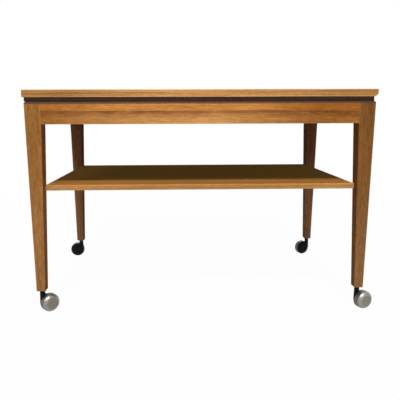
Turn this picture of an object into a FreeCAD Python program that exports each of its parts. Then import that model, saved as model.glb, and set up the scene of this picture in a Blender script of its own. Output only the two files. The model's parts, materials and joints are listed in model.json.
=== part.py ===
"""Drop leaf tea trolley: teak frame on castors, shelf, and a hinged rear leaf on two stays.

Units are millimetres. +X runs along the length, +Y from front to rear, +Z up.
The origin lies on the floor, under the middle of the top with its leaf raised.
"""
import FreeCAD
import Part

import math
import os

from FreeCAD import Vector

# ---- Overall sizes ------------------------------------------------------------------
TOP_LENGTH = 840.0  # fixed top and leaf, end to end
TOP_THICKNESS = 17.0
FRAME_DEPTH = 490.0  # outer faces of the front legs to outer faces of the rear legs
LEG_LENGTH = 470.0  # leg top to leg bottom
LEAF_DEPTH = 220.0

# ---- Top and leaf -------------------------------------------------------------------
END_OVERHANG = 3.0  # top past the legs, at each end
FRONT_OVERHANG = 5.0
REAR_OVERHANG = 14.0  # joint line of the leaf past the rear legs
LEAF_JOINT_GAP = 0.6
LIPPING_WIDTH = 8.0
BOARD_EDGE_RADIUS = 1.5  # upper edges that the hand meets
BOARD_CORNER_RADIUS = 4.0  # corners seen from above
BOARD_END_RADIUS = 5.0  # upper edge of the left end
UNDERCUT_WIDTH = 8.0  # bevel under the right end
UNDERCUT_HEIGHT = 6.5

# ---- Spacer between the top and the frame --------------------------------------------
SPACER_HEIGHT = 10.0
SPACER_WIDTH = 16.0
SPACER_FRONT_RECESS = 5.0
SPACER_LEFT_RECESS = 0.0
SPACER_RIGHT_RECESS = 3.5

# ---- Legs and aprons -----------------------------------------------------------------
LEG_TOP_SECTION = 38.0
LEG_FOOT_SECTION = 23.0
LEG_ARRIS_RADIUS = 2.0
LEG_FOOT_CHAMFER = 1.0
FRAME_TOP_BEVEL = 4.0  # along the outer top edges of legs and aprons
APRON_HEIGHT = 53.0
APRON_THICKNESS = 20.0
APRON_ARRIS_RADIUS = 1.0
TENON_THICKNESS = 10.0
TENON_END_WOOD = 5.0  # between the two tenons that meet in a leg
TENON_SHOULDER = 6.0  # apron left above and below its tenon

# ---- Corner blocks and the screws that hold the top ----------------------------------
BLOCK_REACH = 78.0  # block's two ends, from the outer corner of the frame
BLOCK_HEIGHT = 30.0
TOP_SCREW_PLACE = 45.0  # from the frame's outer corner, both ways
TOP_SCREW_LENGTH = 50.0
TOP_SCREW_HEAD_RADIUS = 4.0
TOP_SCREW_SHANK_RADIUS = 2.0
TOP_SCREW_POINT_LENGTH = 4.0

# ---- Shelf ----------------------------------------------------------------------------
SHELF_HEIGHT = 255.0  # leg bottom to underside of the shelf
SHELF_THICKNESS = 13.0
SHELF_INSET = 21.0  # front edge behind the legs' front faces
SHELF_LIPPING_WIDTH = 6.0
SHELF_ARRIS_RADIUS = 1.0
DOWEL_RADIUS = 4.0
DOWEL_LENGTH_IN_LEG = 12.0
DOWEL_LENGTH_IN_SHELF = 20.0

# ---- Leaf hinges ----------------------------------------------------------------------
HINGE_SPACING = 330.0  # middle hinge to each outer one
HINGE_WIDTH = 64.0
HINGE_PLATE_DEPTH = 26.0
HINGE_PLATE_THICKNESS = 1.5
HINGE_AXIS_DROP = 1.8  # axis below the underside of the boards
KNUCKLE_RADIUS = 2.9
KNUCKLE_COUNT = 5
KNUCKLE_GAP = 0.3
KNUCKLE_CLEARANCE = 0.4  # plate edge to the other plate's knuckles
HINGE_PIN_RADIUS = 1.5
HINGE_POCKET_CLEARANCE = 0.2

# ---- Leaf stays -----------------------------------------------------------------------
STAY_SPACING = 400.0  # between the two stays
STAY_LENGTH = 150.0  # pivot to stud
STAY_WIDTH = 10.0
STAY_THICKNESS = 2.5
STAY_PIVOT_DROP = 31.0  # pivot below the hinge axis
STAY_PIVOT_SETBACK = 7.0  # pivot in front of the hinge axis
STAY_STUD_DROP = 5.2  # stud below the hinge axis with the leaf raised
LEAF_TRAVEL_DEG = 90.0
BRACKET_THICKNESS = 2.0
BRACKET_WIDTH = 26.0
BRACKET_HEIGHT = 28.0
BRACKET_CORNER_RADIUS = 3.0
PIVOT_RADIUS = 2.5
RIVET_HEAD_RADIUS = 4.5
RIVET_HEAD_HEIGHT = 1.5
STUD_HEAD_RADIUS = 4.2
STUD_HEAD_HEIGHT = 1.5
SIDE_CLEARANCE = 0.3  # between flat pieces that turn past one another
RUNNING_CLEARANCE = 0.05  # on the radius of a turning fit
GUIDE_THICKNESS = 2.0
GUIDE_FLANGE_WIDTH = 20.0
GUIDE_LAND = 4.5  # metal left round the slot
SLOT_CLEARANCE = 0.3  # round the stud
SLOT_STATIONS = 9  # leaf angles at which the slot's run is worked out

# ---- Castors --------------------------------------------------------------------------
WHEEL_RADIUS = 23.0
WHEEL_HEADROOM = 12.5  # wheel to the leg above it
WHEEL_WIDTH = 20.5
WHEEL_SHOULDER_RADIUS = 8.5  # round from the wheel's face to its tread
SHELL_WALL = 1.5
CASTOR_TRAIL = 14.5  # swivel axis to axle, along the run of the castor
CASTOR_SIDE_OFFSET = 12.3  # swivel axis to the middle of the wheel
HOOD_RADIUS = 22.5
HOOD_THICKNESS = 6.5
HOOD_EDGE_BEVEL = 3.0
HOOD_RECESS_RADIUS = 13.5
HOOD_RECESS_DEPTH = 1.0
HOOD_SHOULDER_RISE = 4.0  # shoulder at the column, above the round plate
HOOD_AXLE_COVER = 1.5  # hood left behind the end of the axle
HOOD_SIDE_GAP = 0.6  # wheel to hood
COLUMN_RADIUS = 6.2
COLUMN_WHEEL_GAP = 1.0
AXLE_RADIUS = 3.0
AXLE_WASHER_RADIUS = 5.5
AXLE_WASHER_THICKNESS = 1.2
STEM_RADIUS = 4.0
STEM_IN_LEG = 36.0
STEM_WHEEL_GAP = 1.8  # foot of the stem to the wheel below it
STEM_TIP_HEIGHT = 2.0
SOCKET_WALL = 1.2
SOCKET_DEPTH = 38.0
SOCKET_FLANGE_RADIUS = 8.0
SOCKET_FLANGE_THICKNESS = 1.0
# How far each castor has swivelled at rest. At zero its wheel face looks to the front.
CASTOR_TURN_DEG = {
    "front_left": 44.0,
    "front_right": 21.5,
    "rear_left": 183.0,
    "rear_right": 201.5,
}

# ---- Places worked out from the sizes ---------------------------------------------------
X_AXIS = Vector(1, 0, 0)
Y_AXIS = Vector(0, 1, 0)
Z_AXIS = Vector(0, 0, 1)

FRAME_LENGTH = TOP_LENGTH - 2 * END_OVERHANG
FRAME_SIDE = FRAME_LENGTH / 2
TOP_DEPTH = FRONT_OVERHANG + FRAME_DEPTH + REAR_OVERHANG
TOP_FRONT = -(TOP_DEPTH + LEAF_DEPTH) / 2
FRAME_FRONT = TOP_FRONT + FRONT_OVERHANG
FRAME_REAR = FRAME_FRONT + FRAME_DEPTH
FRAME_MIDDLE = (FRAME_FRONT + FRAME_REAR) / 2
JOINT_LINE = FRAME_REAR + REAR_OVERHANG
LEAF_REAR = JOINT_LINE + LEAF_DEPTH

LEG_BOTTOM = 2 * WHEEL_RADIUS + WHEEL_HEADROOM
FRAME_TOP = LEG_BOTTOM + LEG_LENGTH
APRON_BOTTOM = FRAME_TOP - APRON_HEIGHT
BOARD_UNDERSIDE = FRAME_TOP + SPACER_HEIGHT
BOARD_TOP = BOARD_UNDERSIDE + TOP_THICKNESS
SHELF_UNDERSIDE = LEG_BOTTOM + SHELF_HEIGHT
SHELF_TOP = SHELF_UNDERSIDE + SHELF_THICKNESS

HINGE_AXIS_HEIGHT = BOARD_UNDERSIDE - HINGE_AXIS_DROP
STAY_PIVOT_Y = JOINT_LINE - STAY_PIVOT_SETBACK
STAY_PIVOT_HEIGHT = HINGE_AXIS_HEIGHT - STAY_PIVOT_DROP
STAY_RISE_DEG = math.degrees(math.asin((STAY_PIVOT_DROP - STAY_STUD_DROP) / STAY_LENGTH))
STAY_RATIO = (LEAF_TRAVEL_DEG + STAY_RISE_DEG) / LEAF_TRAVEL_DEG

LEG_TAPER_LENGTH = APRON_BOTTOM - LEG_BOTTOM
TENON_LENGTH = LEG_TOP_SECTION - (APRON_THICKNESS + TENON_THICKNESS) / 2 - TENON_END_WOOD
FOOT_CENTRE = LEG_FOOT_SECTION / 2  # swivel axis from the frame's outer corner, both ways
AXLE_HEIGHT = WHEEL_RADIUS
WHEEL_FACE_Y = -CASTOR_SIDE_OFFSET - WHEEL_WIDTH / 2
WHEEL_BACK_Y = WHEEL_FACE_Y + WHEEL_WIDTH
HOOD_FRONT_Y = WHEEL_BACK_Y + HOOD_SIDE_GAP
HOOD_BACK_Y = HOOD_FRONT_Y + HOOD_THICKNESS
AXLE_END_Y = HOOD_BACK_Y - HOOD_RECESS_DEPTH - HOOD_AXLE_COVER
COLUMN_TOP = LEG_BOTTOM - SOCKET_FLANGE_THICKNESS - SIDE_CLEARANCE
STEM_SIDE = CASTOR_TRAIL - STEM_RADIUS  # axle to the near side of the stem, along the run
STEM_LOW = AXLE_HEIGHT + math.sqrt(WHEEL_RADIUS**2 - STEM_SIDE**2) + STEM_WHEEL_GAP
WHEEL_BORE_RADIUS = AXLE_RADIUS + RUNNING_CLEARANCE
SOCKET_BORE_RADIUS = STEM_RADIUS + RUNNING_CLEARANCE
SOCKET_RADIUS = SOCKET_BORE_RADIUS + SOCKET_WALL


# ---- Helpers ----------------------------------------------------------------------------
def block(x_span, y_span, z_span):
    """A box from three (low, high) pairs."""
    low = Vector(x_span[0], y_span[0], z_span[0])
    size = (x_span[1] - x_span[0], y_span[1] - y_span[0], z_span[1] - z_span[0])
    return Part.makeBox(size[0], size[1], size[2], low)


def prism(points, along):
    """A closed outline of points, pushed along a vector."""
    outline = Part.makePolygon(list(points) + [points[0]])
    return Part.Face(outline).extrude(along)


def rod(radius, start, direction, length):
    """A round bar."""
    return Part.makeCylinder(radius, length, start, direction)


def turned(profile, axis):
    """A closed outline of (radius, distance) pairs, turned about an axis through the origin."""
    across = Y_AXIS if axis == Z_AXIS else Z_AXIS
    points = [across * radius + axis * distance for radius, distance in profile]
    outline = Part.makePolygon(points + [points[0]])
    return Part.Face(outline).revolve(Vector(0, 0, 0), axis, 360)


def moved(shape, place, angle_deg=0.0, axis=Z_AXIS):
    """A copy turned about an axis through the origin, then shifted to a place."""
    copy = shape.copy()
    copy.Placement = FreeCAD.Placement(place, FreeCAD.Rotation(axis, angle_deg)).multiply(copy.Placement)
    return copy


def mirror_x(shape):
    """The copy on the other side of the plane between the trolley's two ends."""
    return shape.mirror(Vector(0, 0, 0), X_AXIS)


def mirror_frame_depth(shape):
    """The copy on the other side of the plane midway between front and rear legs."""
    return shape.mirror(Vector(0, FRAME_MIDDLE, 0), Y_AXIS)


def cut_all(shape, tools):
    """The shape with every tool taken out of it."""
    for tool in tools:
        shape = shape.cut(tool)
    return shape


def edges_at(shape, **planes):
    """Edges whose middle lies on every given plane, such as z=FRAME_TOP."""
    chosen = []
    for edge in shape.Edges:
        middle = edge.CenterOfMass
        if all(abs(getattr(middle, name) - value) < 0.01 for name, value in planes.items()):
            chosen.append(edge)
    return chosen


# ---- Top and leaf -----------------------------------------------------------------------
def board_end_cuts(front, rear):
    """What is taken off a board's ends: rounded over at the left, undercut at the right."""
    side = TOP_LENGTH / 2
    run = (front - 1, rear + 1)
    along = Y_AXIS * (run[1] - run[0])
    undercut = prism(
        [
            Vector(side, run[0], BOARD_UNDERSIDE),
            Vector(side, run[0], BOARD_UNDERSIDE + UNDERCUT_HEIGHT),
            Vector(side - UNDERCUT_WIDTH, run[0], BOARD_UNDERSIDE),
        ],
        along,
    )
    radius = BOARD_END_RADIUS
    corner = block((-side, -side + radius), run, (BOARD_TOP - radius, BOARD_TOP))
    round_axis = Vector(-side + radius, run[0], BOARD_TOP - radius)
    return [undercut, corner.cut(rod(radius, round_axis, Y_AXIS, along.Length))]


def board(front, rear, joint_at_rear):
    """A lipped board with rounded free edges, split into panel and lippings."""
    side = TOP_LENGTH / 2
    free_y = front if joint_at_rear else rear
    whole = block((-side, side), (front, rear), (BOARD_UNDERSIDE, BOARD_TOP))
    corners = edges_at(whole, y=free_y, x=-side) + edges_at(whole, y=free_y, x=side)
    whole = whole.makeFillet(BOARD_CORNER_RADIUS, corners)
    joint_y = rear if joint_at_rear else front
    upper = []
    for edge in edges_at(whole, z=BOARD_TOP):
        if abs(edge.CenterOfMass.y - joint_y) > 0.01:
            upper.append(edge)
    whole = cut_all(whole.makeFillet(BOARD_EDGE_RADIUS, upper), board_end_cuts(front, rear))
    inner_side = side - LIPPING_WIDTH
    inner_front = front + LIPPING_WIDTH
    inner_rear = rear - LIPPING_WIDTH
    height = (BOARD_UNDERSIDE - 1, BOARD_TOP + 1)
    full = (-side - 1, side + 1)
    end_spans = ((-side - 1, -inner_side), (inner_side, side + 1))
    ends = [block(span, (inner_front, inner_rear), height) for span in end_spans]
    return {
        "panel": whole.common(block((-inner_side, inner_side), (inner_front, inner_rear), height)),
        "lipping_front": whole.common(block(full, (front - 1, inner_front), height)),
        "lipping_rear": whole.common(block(full, (inner_rear, rear + 1), height)),
        "lipping_ends": Part.makeCompound([whole.common(end) for end in ends]),
    }


# ---- Spacer strips ----------------------------------------------------------------------
def spacers():
    """Dark strips that carry the top just clear of the frame."""
    left = -FRAME_SIDE + SPACER_LEFT_RECESS
    right = FRAME_SIDE - SPACER_RIGHT_RECESS
    front = FRAME_FRONT + SPACER_FRONT_RECESS
    rear = FRAME_REAR - SPACER_FRONT_RECESS
    height = (FRAME_TOP, BOARD_UNDERSIDE)
    inner_front = front + SPACER_WIDTH
    inner_rear = rear - SPACER_WIDTH
    left_end = block((left, left + SPACER_WIDTH), (inner_front, inner_rear), height)
    right_end = block((right - SPACER_WIDTH, right), (inner_front, inner_rear), height)
    return {
        "spacer_front": block((left, right), (front, inner_front), height),
        "spacer_rear": block((left, right), (inner_rear, rear), height),
        "spacer_ends": Part.makeCompound([left_end, right_end]),
    }


# ---- Aprons -----------------------------------------------------------------------------
def top_bevels():
    """What the bevel takes off the frame's outer top edges, at the front and at the right."""
    bevel = FRAME_TOP_BEVEL
    front = prism(
        [
            Vector(-FRAME_SIDE, FRAME_FRONT, FRAME_TOP),
            Vector(-FRAME_SIDE, FRAME_FRONT, FRAME_TOP - bevel),
            Vector(-FRAME_SIDE, FRAME_FRONT + bevel, FRAME_TOP),
        ],
        X_AXIS * FRAME_LENGTH,
    )
    right = prism(
        [
            Vector(FRAME_SIDE, FRAME_FRONT, FRAME_TOP),
            Vector(FRAME_SIDE, FRAME_FRONT, FRAME_TOP - bevel),
            Vector(FRAME_SIDE - bevel, FRAME_FRONT, FRAME_TOP),
        ],
        Y_AXIS * FRAME_DEPTH,
    )
    return [front, right]


def tenon_height():
    """Lowest and highest level of every tenon."""
    return (APRON_BOTTOM + TENON_SHOULDER, FRAME_TOP - TENON_SHOULDER)


def apron_front():
    """Front apron, flush with the legs, with a tenon at each end."""
    side = FRAME_SIDE - LEG_TOP_SECTION
    span = (FRAME_FRONT, FRAME_FRONT + APRON_THICKNESS)
    rail = block((-side, side), span, (APRON_BOTTOM, FRAME_TOP))
    lower = edges_at(rail, z=APRON_BOTTOM, x=0)
    rail = rail.makeFillet(APRON_ARRIS_RADIUS, lower)
    middle = FRAME_FRONT + APRON_THICKNESS / 2
    tongue = (middle - TENON_THICKNESS / 2, middle + TENON_THICKNESS / 2)
    reach = side + TENON_LENGTH
    right = block((side, reach), tongue, tenon_height())
    return cut_all(rail.fuse([right, mirror_x(right)]).removeSplitter(), top_bevels())


def apron_right():
    """Right-hand apron, flush with the legs, with a tenon at each end."""
    front = FRAME_FRONT + LEG_TOP_SECTION
    rear = FRAME_REAR - LEG_TOP_SECTION
    span = (FRAME_SIDE - APRON_THICKNESS, FRAME_SIDE)
    rail = block(span, (front, rear), (APRON_BOTTOM, FRAME_TOP))
    lower = edges_at(rail, z=APRON_BOTTOM, y=FRAME_MIDDLE)
    rail = rail.makeFillet(APRON_ARRIS_RADIUS, lower)
    middle = FRAME_SIDE - APRON_THICKNESS / 2
    tongue = (middle - TENON_THICKNESS / 2, middle + TENON_THICKNESS / 2)
    near = block(tongue, (front - TENON_LENGTH, front), tenon_height())
    return cut_all(rail.fuse([near, mirror_frame_depth(near)]).removeSplitter(), top_bevels())


# ---- Legs -------------------------------------------------------------------------------
def leg_section_at(height):
    """Side of the leg's square section at a level below the apron."""
    share = (height - LEG_BOTTOM) / LEG_TAPER_LENGTH
    return LEG_FOOT_SECTION + (LEG_TOP_SECTION - LEG_FOOT_SECTION) * share


def leg_taper():
    """Front right leg below the aprons: a square bar with its two inner faces tapered."""
    inner_x = FRAME_SIDE - LEG_TOP_SECTION
    inner_y = FRAME_FRONT + LEG_TOP_SECTION
    loss = LEG_TOP_SECTION - LEG_FOOT_SECTION
    bar = block((inner_x, FRAME_SIDE), (FRAME_FRONT, inner_y), (LEG_BOTTOM, APRON_BOTTOM))
    side_wedge = prism(
        [
            Vector(inner_x, FRAME_FRONT, APRON_BOTTOM),
            Vector(inner_x, FRAME_FRONT, LEG_BOTTOM),
            Vector(inner_x + loss, FRAME_FRONT, LEG_BOTTOM),
        ],
        Y_AXIS * LEG_TOP_SECTION,
    )
    depth_wedge = prism(
        [
            Vector(inner_x, inner_y, APRON_BOTTOM),
            Vector(inner_x, inner_y, LEG_BOTTOM),
            Vector(inner_x, inner_y - loss, LEG_BOTTOM),
        ],
        X_AXIS * LEG_TOP_SECTION,
    )
    bar = cut_all(bar, [side_wedge, depth_wedge])
    arrises = [edge for edge in bar.Edges if edge.Length > LEG_TAPER_LENGTH - 1]
    bar = bar.makeFillet(LEG_ARRIS_RADIUS, arrises)
    foot = [edge for edge in bar.Edges if edge.BoundBox.ZMax < LEG_BOTTOM + 0.01]
    return bar.makeChamfer(LEG_FOOT_CHAMFER, foot)


def leg_head():
    """Front right leg beside the aprons, with its outer edges eased."""
    head = block(
        (FRAME_SIDE - LEG_TOP_SECTION, FRAME_SIDE),
        (FRAME_FRONT, FRAME_FRONT + LEG_TOP_SECTION),
        (APRON_BOTTOM, FRAME_TOP),
    )
    head = head.makeFillet(LEG_ARRIS_RADIUS, edges_at(head, x=FRAME_SIDE, y=FRAME_FRONT))
    return cut_all(head, top_bevels())


def leg_front_right():
    """Front right leg, bored for its castor socket and shelf dowel."""
    leg = leg_taper().fuse(leg_head()).removeSplitter()
    return cut_all(leg, [socket_envelope("front_right"), shelf_dowel()])


# ---- Corner blocks ----------------------------------------------------------------------
def corner_block():
    """Glue block in the front right corner, cut round the leg."""
    plan = [
        (LEG_TOP_SECTION, APRON_THICKNESS),
        (BLOCK_REACH, APRON_THICKNESS),
        (APRON_THICKNESS, BLOCK_REACH),
        (APRON_THICKNESS, LEG_TOP_SECTION),
        (LEG_TOP_SECTION, LEG_TOP_SECTION),
    ]
    low = FRAME_TOP - BLOCK_HEIGHT
    points = [Vector(FRAME_SIDE - across, FRAME_FRONT + back, low) for across, back in plan]
    return prism(points, Z_AXIS * BLOCK_HEIGHT)


def top_screw():
    """Countersunk screw that rises through the front right corner block into the top."""
    head = TOP_SCREW_HEAD_RADIUS
    shank = TOP_SCREW_SHANK_RADIUS
    profile = [
        (0, 0),
        (head, 0),
        (shank, head - shank),
        (shank, TOP_SCREW_LENGTH - TOP_SCREW_POINT_LENGTH),
        (0, TOP_SCREW_LENGTH),
    ]
    place = Vector(FRAME_SIDE - TOP_SCREW_PLACE, FRAME_FRONT + TOP_SCREW_PLACE, FRAME_TOP - BLOCK_HEIGHT)
    return moved(turned(profile, Z_AXIS), place)


def four_corners(shape):
    """A piece of the front right corner and its mirror images in the other three."""
    far = mirror_frame_depth(shape)
    return [shape, mirror_x(shape), far, mirror_x(far)]


# ---- Shelf ------------------------------------------------------------------------------
def shelf_side(height):
    """Half the shelf's length at a level: the inner face of the legs there."""
    return FRAME_SIDE - leg_section_at(height)


def shelf_slab(inset, front, rear):
    """The shelf between two depths, shortened at both ends, with ends cut to the legs' taper."""
    top_side = shelf_side(SHELF_TOP) - inset
    low_side = shelf_side(SHELF_UNDERSIDE) - inset
    outline = [
        Vector(-low_side, front, SHELF_UNDERSIDE),
        Vector(low_side, front, SHELF_UNDERSIDE),
        Vector(top_side, front, SHELF_TOP),
        Vector(-top_side, front, SHELF_TOP),
    ]
    return prism(outline, Y_AXIS * (rear - front))


def shelf():
    """Veneered shelf panel with four solid lippings, drilled for its dowels."""
    front = FRAME_FRONT + SHELF_INSET
    rear = FRAME_REAR - SHELF_INSET
    inner_front = front + SHELF_LIPPING_WIDTH
    inner_rear = rear - SHELF_LIPPING_WIDTH
    panel = shelf_slab(SHELF_LIPPING_WIDTH, inner_front, inner_rear)
    strip = shelf_slab(0.0, front, inner_front)
    strip = strip.makeFillet(SHELF_ARRIS_RADIUS, edges_at(strip, x=0, y=front))
    ends = shelf_slab(0.0, inner_front, inner_rear).cut(panel)
    dowels = shelf_dowels()
    pieces = {
        "shelf_panel": panel,
        "shelf_lipping_front": strip,
        "shelf_lipping_rear": mirror_frame_depth(strip),
        "shelf_lipping_ends": ends,
    }
    pieces = {name: cut_all(shape, dowels) for name, shape in pieces.items()}
    pieces["shelf_dowels"] = Part.makeCompound(dowels)
    return pieces


def shelf_dowel():
    """Dowel between the shelf and the front right leg."""
    height = (SHELF_TOP + SHELF_UNDERSIDE) / 2
    section = leg_section_at(height)
    y = FRAME_FRONT + (SHELF_INSET + section) / 2
    start = Vector(shelf_side(height) - DOWEL_LENGTH_IN_SHELF, y, height)
    return rod(DOWEL_RADIUS, start, X_AXIS, DOWEL_LENGTH_IN_SHELF + DOWEL_LENGTH_IN_LEG)


def shelf_dowels():
    """All four shelf dowels."""
    return four_corners(shelf_dowel())


# ---- Leaf hinges ------------------------------------------------------------------------
def hinge_middles():
    """Middle of each hinge along the joint."""
    return [-HINGE_SPACING, 0.0, HINGE_SPACING]


def hinge_plate(middle, on_leaf):
    """One half of a hinge, let in flush under its board, with its own knuckles."""
    facing = 1.0 if on_leaf else -1.0
    step = HINGE_WIDTH / KNUCKLE_COUNT
    left = middle - HINGE_WIDTH / 2
    height = (BOARD_UNDERSIDE, BOARD_UNDERSIDE + HINGE_PLATE_THICKNESS)
    near = KNUCKLE_RADIUS + KNUCKLE_CLEARANCE
    span = sorted((JOINT_LINE + facing * near, JOINT_LINE + facing * HINGE_PLATE_DEPTH))
    plate = block((left, left + HINGE_WIDTH), span, height)
    additions = []
    cuts = []
    bore_radius = HINGE_PIN_RADIUS + (RUNNING_CLEARANCE if on_leaf else 0.0)
    for index in range(KNUCKLE_COUNT):
        if (index % 2 == 1) != on_leaf:
            continue
        low = left + index * step + KNUCKLE_GAP / 2
        length = step - KNUCKLE_GAP
        start = Vector(low, JOINT_LINE, HINGE_AXIS_HEIGHT)
        additions.append(rod(KNUCKLE_RADIUS, start, X_AXIS, length))
        tongue = sorted((JOINT_LINE, JOINT_LINE + facing * (near + 0.5)))
        additions.append(block((low, low + length), tongue, height))
        cuts.append(rod(bore_radius, start, X_AXIS, length))
    plate = plate.fuse(additions).removeSplitter()
    return cut_all(plate, cuts)


def hinge_pocket(middle, on_leaf):
    """Recess in the underside of a board for one hinge plate."""
    facing = 1.0 if on_leaf else -1.0
    half = HINGE_WIDTH / 2 + HINGE_POCKET_CLEARANCE
    far = HINGE_PLATE_DEPTH + HINGE_POCKET_CLEARANCE
    span = sorted((JOINT_LINE, JOINT_LINE + facing * far))
    height = (BOARD_UNDERSIDE, BOARD_UNDERSIDE + HINGE_PLATE_THICKNESS)
    return block((middle - half, middle + half), span, height)


def hinge_pin(middle):
    """Pin through the knuckles of one hinge."""
    start = Vector(middle - HINGE_WIDTH / 2, JOINT_LINE, HINGE_AXIS_HEIGHT)
    return rod(HINGE_PIN_RADIUS, start, X_AXIS, HINGE_WIDTH)


# ---- Leaf stays -------------------------------------------------------------------------
def stay_stack(middle):
    """Faces along X of the pieces of one stay: ear, arm and guide."""
    ear = (middle, middle + BRACKET_THICKNESS)
    arm = (ear[1] + SIDE_CLEARANCE, ear[1] + SIDE_CLEARANCE + STAY_THICKNESS)
    guide = (arm[1] + 2 * SIDE_CLEARANCE, arm[1] + 2 * SIDE_CLEARANCE + GUIDE_THICKNESS)
    return ear, arm, guide


def stud_path(leaf_deg):
    """Place of the stud beside the leaf at a leaf angle: out from the hinge axis, and below it."""
    leaf = math.radians(leaf_deg)
    arm = math.radians(STAY_RISE_DEG - STAY_RATIO * leaf_deg)
    out = -STAY_PIVOT_SETBACK + STAY_LENGTH * math.cos(arm)
    up = -STAY_PIVOT_DROP + STAY_LENGTH * math.sin(arm)
    return (
        out * math.cos(leaf) - up * math.sin(leaf),
        out * math.sin(leaf) + up * math.cos(leaf),
    )


def path_band(x, half_width):
    """Face with round ends that covers the stud's path to a half width either side."""
    step = LEAF_TRAVEL_DEG / (SLOT_STATIONS - 1)
    nudge = 0.01
    upper = []
    lower = []
    heading = []
    middle = []
    for station in range(SLOT_STATIONS):
        angle = station * step
        out, up = stud_path(angle)
        ahead_out, ahead_up = stud_path(angle + nudge)
        back_out, back_up = stud_path(angle - nudge)
        run = Vector(0, ahead_out - back_out, ahead_up - back_up).normalize()
        across = Vector(0, -run.z, run.y)
        point = Vector(x, JOINT_LINE + out, HINGE_AXIS_HEIGHT + up)
        heading.append(run)
        middle.append(point)
        upper.append(point + across * half_width)
        lower.append(point - across * half_width)
    over = Part.BSplineCurve()
    over.interpolate(Points=upper)
    under = Part.BSplineCurve()
    under.interpolate(Points=lower)
    far_end = Part.Arc(upper[-1], middle[-1] + heading[-1] * half_width, lower[-1])
    near_end = Part.Arc(lower[0], middle[0] - heading[0] * half_width, upper[0])
    edges = [over.toShape(), far_end.toShape(), under.toShape(), near_end.toShape()]
    return Part.Face(Part.Wire(Part.__sortEdges__(edges)))


def guide_ends():
    """Where a guide starts and ends along Y, clear of the slot at both ends."""
    margin = PIVOT_RADIUS + SLOT_CLEARANCE + GUIDE_LAND
    near = JOINT_LINE + stud_path(0.0)[0] - margin
    far = JOINT_LINE + stud_path(LEAF_TRAVEL_DEG)[0] + margin
    return near, far


def stay_guide(middle):
    """Angle plate under the leaf whose curved slot leads the stay's stud."""
    web_span = stay_stack(middle)[2]
    near, far = guide_ends()
    half_slot = PIVOT_RADIUS + SLOT_CLEARANCE
    stud_level = HINGE_AXIS_HEIGHT - STAY_STUD_DROP
    flange = block(
        (web_span[0], web_span[0] + GUIDE_FLANGE_WIDTH),
        (near, far),
        (BOARD_UNDERSIDE - GUIDE_THICKNESS, BOARD_UNDERSIDE),
    )
    cheek = block(web_span, (near, far), (stud_level, BOARD_UNDERSIDE))
    push = X_AXIS * GUIDE_THICKNESS
    lobe = path_band(web_span[0], half_slot + GUIDE_LAND).extrude(push)
    slot = path_band(web_span[0], half_slot).extrude(push)
    below = block(web_span, (near, far), (BOARD_UNDERSIDE - far + near, BOARD_UNDERSIDE))
    return flange.fuse([cheek, lobe.common(below)]).removeSplitter().cut(slot)


def stay_bracket(middle):
    """Angle bracket on the rear apron with an ear that carries the stay's pivot."""
    ear_span = stay_stack(middle)[0]
    low = STAY_PIVOT_HEIGHT - BRACKET_HEIGHT / 2
    high = STAY_PIVOT_HEIGHT + BRACKET_HEIGHT / 2
    plate = block(
        (ear_span[1] - BRACKET_WIDTH, ear_span[1]),
        (FRAME_REAR, FRAME_REAR + BRACKET_THICKNESS),
        (low, high),
    )
    corners = edges_at(plate, x=ear_span[1] - BRACKET_WIDTH, y=FRAME_REAR + BRACKET_THICKNESS / 2)
    plate = plate.makeFillet(BRACKET_CORNER_RADIUS, corners)
    pivot = Vector(ear_span[0], STAY_PIVOT_Y, STAY_PIVOT_HEIGHT)
    nose = rod(STAY_WIDTH / 2, pivot, X_AXIS, BRACKET_THICKNESS)
    ear = prism(
        [
            Vector(ear_span[0], FRAME_REAR, low),
            Vector(ear_span[0], FRAME_REAR + BRACKET_THICKNESS, low),
            Vector(ear_span[0], STAY_PIVOT_Y, STAY_PIVOT_HEIGHT - STAY_WIDTH / 2),
            Vector(ear_span[0], STAY_PIVOT_Y, STAY_PIVOT_HEIGHT + STAY_WIDTH / 2),
            Vector(ear_span[0], FRAME_REAR + BRACKET_THICKNESS, high),
            Vector(ear_span[0], FRAME_REAR, high),
        ],
        X_AXIS * BRACKET_THICKNESS,
    )
    return plate.fuse([ear, nose]).removeSplitter()


def stay_rivet(middle):
    """Rivet at the foot of a stay, fast in the bracket's ear."""
    ear, arm, _ = stay_stack(middle)
    low = ear[0] - RIVET_HEAD_HEIGHT
    high = arm[1] + SIDE_CLEARANCE + RIVET_HEAD_HEIGHT
    taper = RIVET_HEAD_HEIGHT / 2
    profile = [
        (0, low),
        (RIVET_HEAD_RADIUS - taper, low),
        (RIVET_HEAD_RADIUS, low + taper),
        (RIVET_HEAD_RADIUS, ear[0]),
        (PIVOT_RADIUS, ear[0]),
        (PIVOT_RADIUS, arm[1] + SIDE_CLEARANCE),
        (RIVET_HEAD_RADIUS, arm[1] + SIDE_CLEARANCE),
        (RIVET_HEAD_RADIUS, high - taper),
        (RIVET_HEAD_RADIUS - taper, high),
        (0, high),
    ]
    return moved(turned(profile, X_AXIS), Vector(0, STAY_PIVOT_Y, STAY_PIVOT_HEIGHT))


def stay_arm(middle):
    """Flat steel arm, from its pivot up to its stud."""
    arm = stay_stack(middle)[1]
    half = STAY_WIDTH / 2
    push = X_AXIS * STAY_THICKNESS
    bar = block((arm[0], arm[1]), (0, STAY_LENGTH), (-half, half))
    ends = [rod(half, Vector(arm[0], y, 0), X_AXIS, STAY_THICKNESS) for y in (0, STAY_LENGTH)]
    bar = bar.fuse(ends).removeSplitter()
    bar = bar.cut(rod(PIVOT_RADIUS + RUNNING_CLEARANCE, Vector(arm[0], 0, 0), X_AXIS, push.Length))
    bar = bar.cut(rod(PIVOT_RADIUS, Vector(arm[0], STAY_LENGTH, 0), X_AXIS, push.Length))
    return moved(bar, Vector(0, STAY_PIVOT_Y, STAY_PIVOT_HEIGHT), STAY_RISE_DEG, X_AXIS)


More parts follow.
